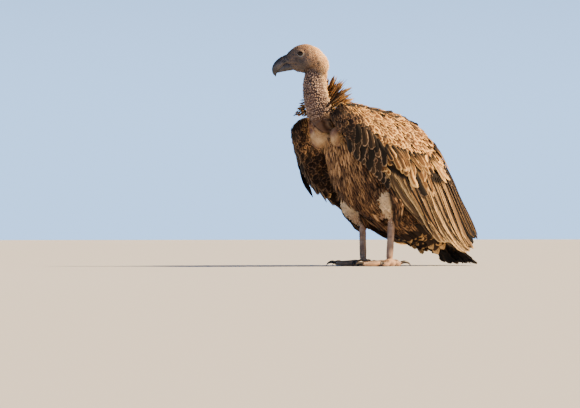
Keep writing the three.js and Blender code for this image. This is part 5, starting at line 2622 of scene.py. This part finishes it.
@dataclass
class Bill:
    """The two halves of the deep hooked bill, with cere, nostril slits and cutting edge."""

    stance: Stance
    nostril: tuple = (66, -6)

    def finish(self) -> Material:
        """Weathered beak keratin: almost black along the ridge, grey-brown on the sides.

        Returns:
            The material.
        """
        s = Surface("beak_keratin", 0.38, 0.5)
        side = s.patches(7, "#322c30", "#4c4648")
        dark = s.patches(5, "#141216", "#241f22")
        s.colour(s.mix(s.value("flange"), s.mix(s.value("ridge"), side, dark), "#a08a70"))
        s.roughness(s.math("MULTIPLY_ADD", s.noise(4), 0.25, 0.26))
        s.bump(s.noise(2.2), 0.25)
        return s.material

    def half(self, name: str, tube: Tube, upper: bool, material: Material) -> None:
        """Makes one half of the bill.

        Args:
            name: its name.
            tube: its form.
            upper: whether it is the upper half, with cere, nostril and hook.
            material: its finish.
        """
        form = TubeMesh(tube, 90, 72)
        made = form.build(name, self.stance)
        t, high = form.t, np.sin(form.around)
        if upper:
            move, grooves = self.cere(form)
            points = form.points + normals_of(made.data) * move[:, None]
            ridge = np.maximum(soft_step(0.25, 0.95, high), soft_step(0.55, 0.85, t))
            ridge = np.maximum(ridge, grooves)
        else:
            rise = 5.0 * soft_step(-0.2, 0.8, high) * soft_step(0.02, 0.3, t) * soft_step(1.0, 0.7, t)
            points = form.points + UPWARD * rise[:, None]
            ridge = 0.35 + 0 * t
        set_places(made.data, self.stance.to_row(points))
        flange = hill(high + 0.8, 0.14) * soft_step(0.08, 0.2, t) * soft_step(0.62, 0.45, t) * upper
        set_value(made.data, "ridge", ridge)
        set_value(made.data, "flange", flange)
        made.data.materials.append(material)
        finish_piece(made, "bill", name.replace("beak", "bill"))

    def cere(self, form: TubeMesh) -> tuple[Array, Array]:
        """Shapes the upper half's ridge, cere, nostril slit and cutting edge.

        Args:
            form: the upper half.

        Returns:
            How far each vertex moves out, in millimetres, and how deep in a groove it lies.
        """
        t, high = form.t, np.sin(form.around)
        f, _, u = head_places(form.points)
        f, u = f - self.nostril[0], u - self.nostril[1]
        down_slit = f * 0.62 + u * 0.78
        move = 0.9 * hill(np.cos(form.around), 0.25) * (high > 0) * soft_step(0.15, 0.3, t) * (t < 0.93)
        move -= 1.0 * hill(t - 0.23 - 0.05 * high, 0.022)
        grooves = hill(f * 0.78 - u * 0.62, 1.1) * hill(down_slit, 4.5)
        move -= 2.6 * grooves
        for step in (-4.4, 4.4):
            fold = hill((f - step) * 0.78 - u * 0.62, 0.8) * hill(down_slit, 6)
            move -= 1.1 * fold
            grooves = np.maximum(grooves, 0.8 * fold)
        move -= 1.2 * hill(high + 0.72, 0.12) * soft_step(0.1, 0.3, t) * soft_step(0.95, 0.7, t)
        return move, grooves

    def build(self) -> None:
        """Makes the bill."""
        material = self.finish()
        self.half("beak_upper", BILL_UPPER, True, material)
        self.half("beak_lower", BILL_LOWER, False, material)


@dataclass
class Scutes:
    """The overlapping horny plates down the front of each shank and along the top of each toe."""

    stance: Stance
    step: float = 5.2
    length: float = 7.4

    def finish(self) -> Material:
        """Dry, dusty leg horn, grey-pink with darker soiling.

        Returns:
            The material.
        """
        s = Surface("scute_horn", 0.6, 0.3)
        colour = s.patches(9, "#7d6557", "#a88f7e")
        s.colour(s.mix(s.math("MULTIPLY", s.value("tint"), 0.35), colour, "#4f3f37"))
        s.bump(s.noise(1.5), 0.3)
        return s.material

    def lay(self, plates: Feathers, form: Tube, ends: tuple, centre: float, half: float) -> None:
        """Lays the plates along one form.

        Args:
            plates: the piece that they join.
            form: the shank or the toe.
            ends: the first and last place along it.
            centre: the angle that faces forward or up.
            half: half a plate's width, in millimetres.
        """
        bed = Bed(form, 0.9)
        reach = (ends[1] - ends[0]) * form.spline.length
        t = np.linspace(*ends, max(2, int(reach / self.step)))
        for shift in (-0.62, 0.62):
            turn = np.full_like(t, centre + shift)
            way = form.spline.tangent(np.clip(t, 0, 1))
            length = np.full(len(t), self.length)
            spines, _, _ = bed.follow(t, turn, lambda _, w=way: w, length, SCUTE.rows, (0.2, 1.5))
            width = half * (0.92 + 0.1 * plates.random.random(len(t)))
            plates.lay(spines, width, SCUTE, np.zeros(len(t)), bed.root(t, turn))

    def build(self) -> None:
        """Makes the plates of both legs."""
        material = self.finish()
        for side in Side:
            plates = Feathers(f"scutes_{side.word}", 81)
            self.lay(plates, shank_tube(side), (0.1, 0.93), -side.value * math.pi / 2, 6.4)
            for name in TOES:
                self.lay(plates, toe_tube(side, name), (0.16, 0.9), -math.pi / 2, 4.6)
            finish_piece(plates.build(self.stance, material), "leg_skin")


@dataclass
class Claws:
    """The eight blunt curved claws."""

    stance: Stance

    def finish(self) -> Material:
        """Worn claw horn: near black, in streaks along the claw.

        Returns:
            The material.
        """
        s = Surface("claw_horn", 0.4, 0.5)
        s.colour(s.mix(s.ramp(s.noise(5, 3, (1, 1, 3)), 0.35, 0.7), "#1a1614", "#40362f"))
        s.bump(s.noise(1.6), 0.2)
        return s.material

    def build(self) -> None:
        """Makes the claws."""
        material = self.finish()
        for side in Side:
            for name in TOES:
                form = TubeMesh(claw_tube(side, name), 28, 20)
                made = form.build(f"talon_{name}_{side.word}", self.stance)
                places = places_of(made.data)
                places[:, 2] = np.maximum(places[:, 2], 0.0002)
                set_places(made.data, places)
                made.data.materials.append(material)
                finish_piece(made, "claw", f"claw_{name}_{side.word}")


# ---------------------------------------------------------------- setting


@dataclass
class Studio:
    """The plain floor, the soft lights and the camera."""

    stance: Stance
    azimuth: float = 55.0
    distance: float = 6000.0
    camera_height: float = 80.0
    millimetres_per_pixel: float = 2.6
    frame: tuple = (580, 408)
    feet_pixel: tuple = (376, 266)
    bird_middle: float = 280.0
    light_distance: float = 2.6

    def camera(self) -> None:
        """Makes the camera, low and far away, with the bird right of the frame's middle."""
        angle = math.radians(self.azimuth)
        right = np.array([math.cos(angle), math.sin(angle), 0])
        eye = np.array([math.sin(angle), -math.cos(angle), 0]) * self.distance
        eye[2] = self.camera_height
        scale = self.millimetres_per_pixel
        target = right * (self.frame[0] / 2 - self.feet_pixel[0]) * scale
        target = target + UPWARD * (self.feet_pixel[1] - self.frame[1] / 2) * scale
        data = bpy.data.cameras.new("camera")
        data.sensor_width = SENSOR
        data.lens = SENSOR * np.linalg.norm(target - eye) / scale / self.frame[0]
        data.clip_end = 100
        bpy.context.scene.camera = self.place(data, self.stance.to_row(eye), Vector(target - eye))

    def place(self, data: bpy.types.ID, where: Sequence, way: Vector) -> Thing:
        """Puts a camera or a light in the scene.

        Args:
            data: the camera or the light.
            where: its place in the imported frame.
            way: the direction that it faces.

        Returns:
            The object.
        """
        made = bpy.data.objects.new(data.name, data)
        made.location = Vector(where)
        made.rotation_mode = "QUATERNION"
        made.rotation_quaternion = way.to_track_quat("-Z", "Y")
        bpy.context.scene.collection.objects.link(made)
        return made

    def light(self, data: bpy.types.Light, azimuth: float, height: float, power: float, colour: str) -> None:
        """Sets a light so that it faces the bird.

        Args:
            data: the light.
            azimuth: where it stands round the bird, in degrees, 0 in front and 90 to its left.
            height: its elevation, in degrees.
            power: its power, in watts, or for a sun in watts for each square metre.
            colour: its colour, as a hex value.
        """
        data.energy, data.color = power, linear(colour)[:3]
        angle, rise = math.radians(azimuth), math.radians(height)
        way = Vector((math.sin(angle) * math.cos(rise), -math.cos(angle) * math.cos(rise), math.sin(rise)))
        middle = Vector(self.stance.to_row((0, 0, self.bird_middle)))
        self.place(data, middle + way * self.light_distance, -way)

    def lights(self) -> None:
        """Adds the warm sun, which lights bird and floor alike, and the large soft fill."""
        sun = bpy.data.lights.new("key", "SUN")
        sun.angle = math.radians(6)
        self.light(sun, self.azimuth + 86, 42, 16.5, "#ffd8a2")
        lamp = bpy.data.lights.new("fill", "AREA")
        lamp.size = 2.4
        self.light(lamp, self.azimuth - 50, 20, 3, "#e8f0ff")

    def sky(self) -> None:
        """Sets a pale blue wall of light round the bird, dimmer overhead."""
        world = bpy.data.worlds.new("world")
        bpy.context.scene.world = world
        world.use_nodes = True
        tree = world.node_tree
        way = add(tree, "ShaderNodeTexCoord").outputs["Generated"]
        height = add(tree, "ShaderNodeSeparateXYZ", {}, {0: way}).outputs[2]
        inputs = {"Value": height, "From Min": 0.04, "From Max": 0.3}
        share = add(tree, "ShaderNodeMapRange", {"interpolation_type": "SMOOTHSTEP"}, inputs).outputs[0]
        inputs = {0: share, 6: linear("#a1ccff"), 7: linear("#47556b")}
        colour = add(tree, "ShaderNodeMix", {"data_type": "RGBA"}, inputs).outputs[2]
        tree.links.new(colour, tree.nodes["Background"].inputs["Color"])
        tree.nodes["Background"].inputs["Strength"].default_value = 2.15

    def floor(self) -> None:
        """Lays a pale floor that runs far behind the bird."""
        mesh = shaped("floor", bmesh.ops.create_grid, x_segments=1, y_segments=1, size=30)
        s = Surface("pale_floor", 0.9, 0.1)
        s.colour("#b3b9c2")
        mesh.materials.append(s.material)
        new_object("floor", mesh)

    def build(self) -> None:
        """Makes the setting."""
        self.camera()
        self.floor()
        self.lights()
        self.sky()


def main() -> None:
    """Builds the bird and its setting."""
    logging.basicConfig(level=logging.INFO, format="%(message)s")
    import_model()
    stance = Stance()
    Studio(stance).build()
    Down(stance).build(Skin(stance).build())
    Eyes(stance).build()
    Bill(stance).build()
    Claws(stance).build()
    Scutes(stance).build()
    for side in Side:
        Wing(side, stance).build()
    Tail(stance).build()
    BodyPlumage(stance).build()
    Ruff(stance).build()


if __name__ == "__main__":
    main()
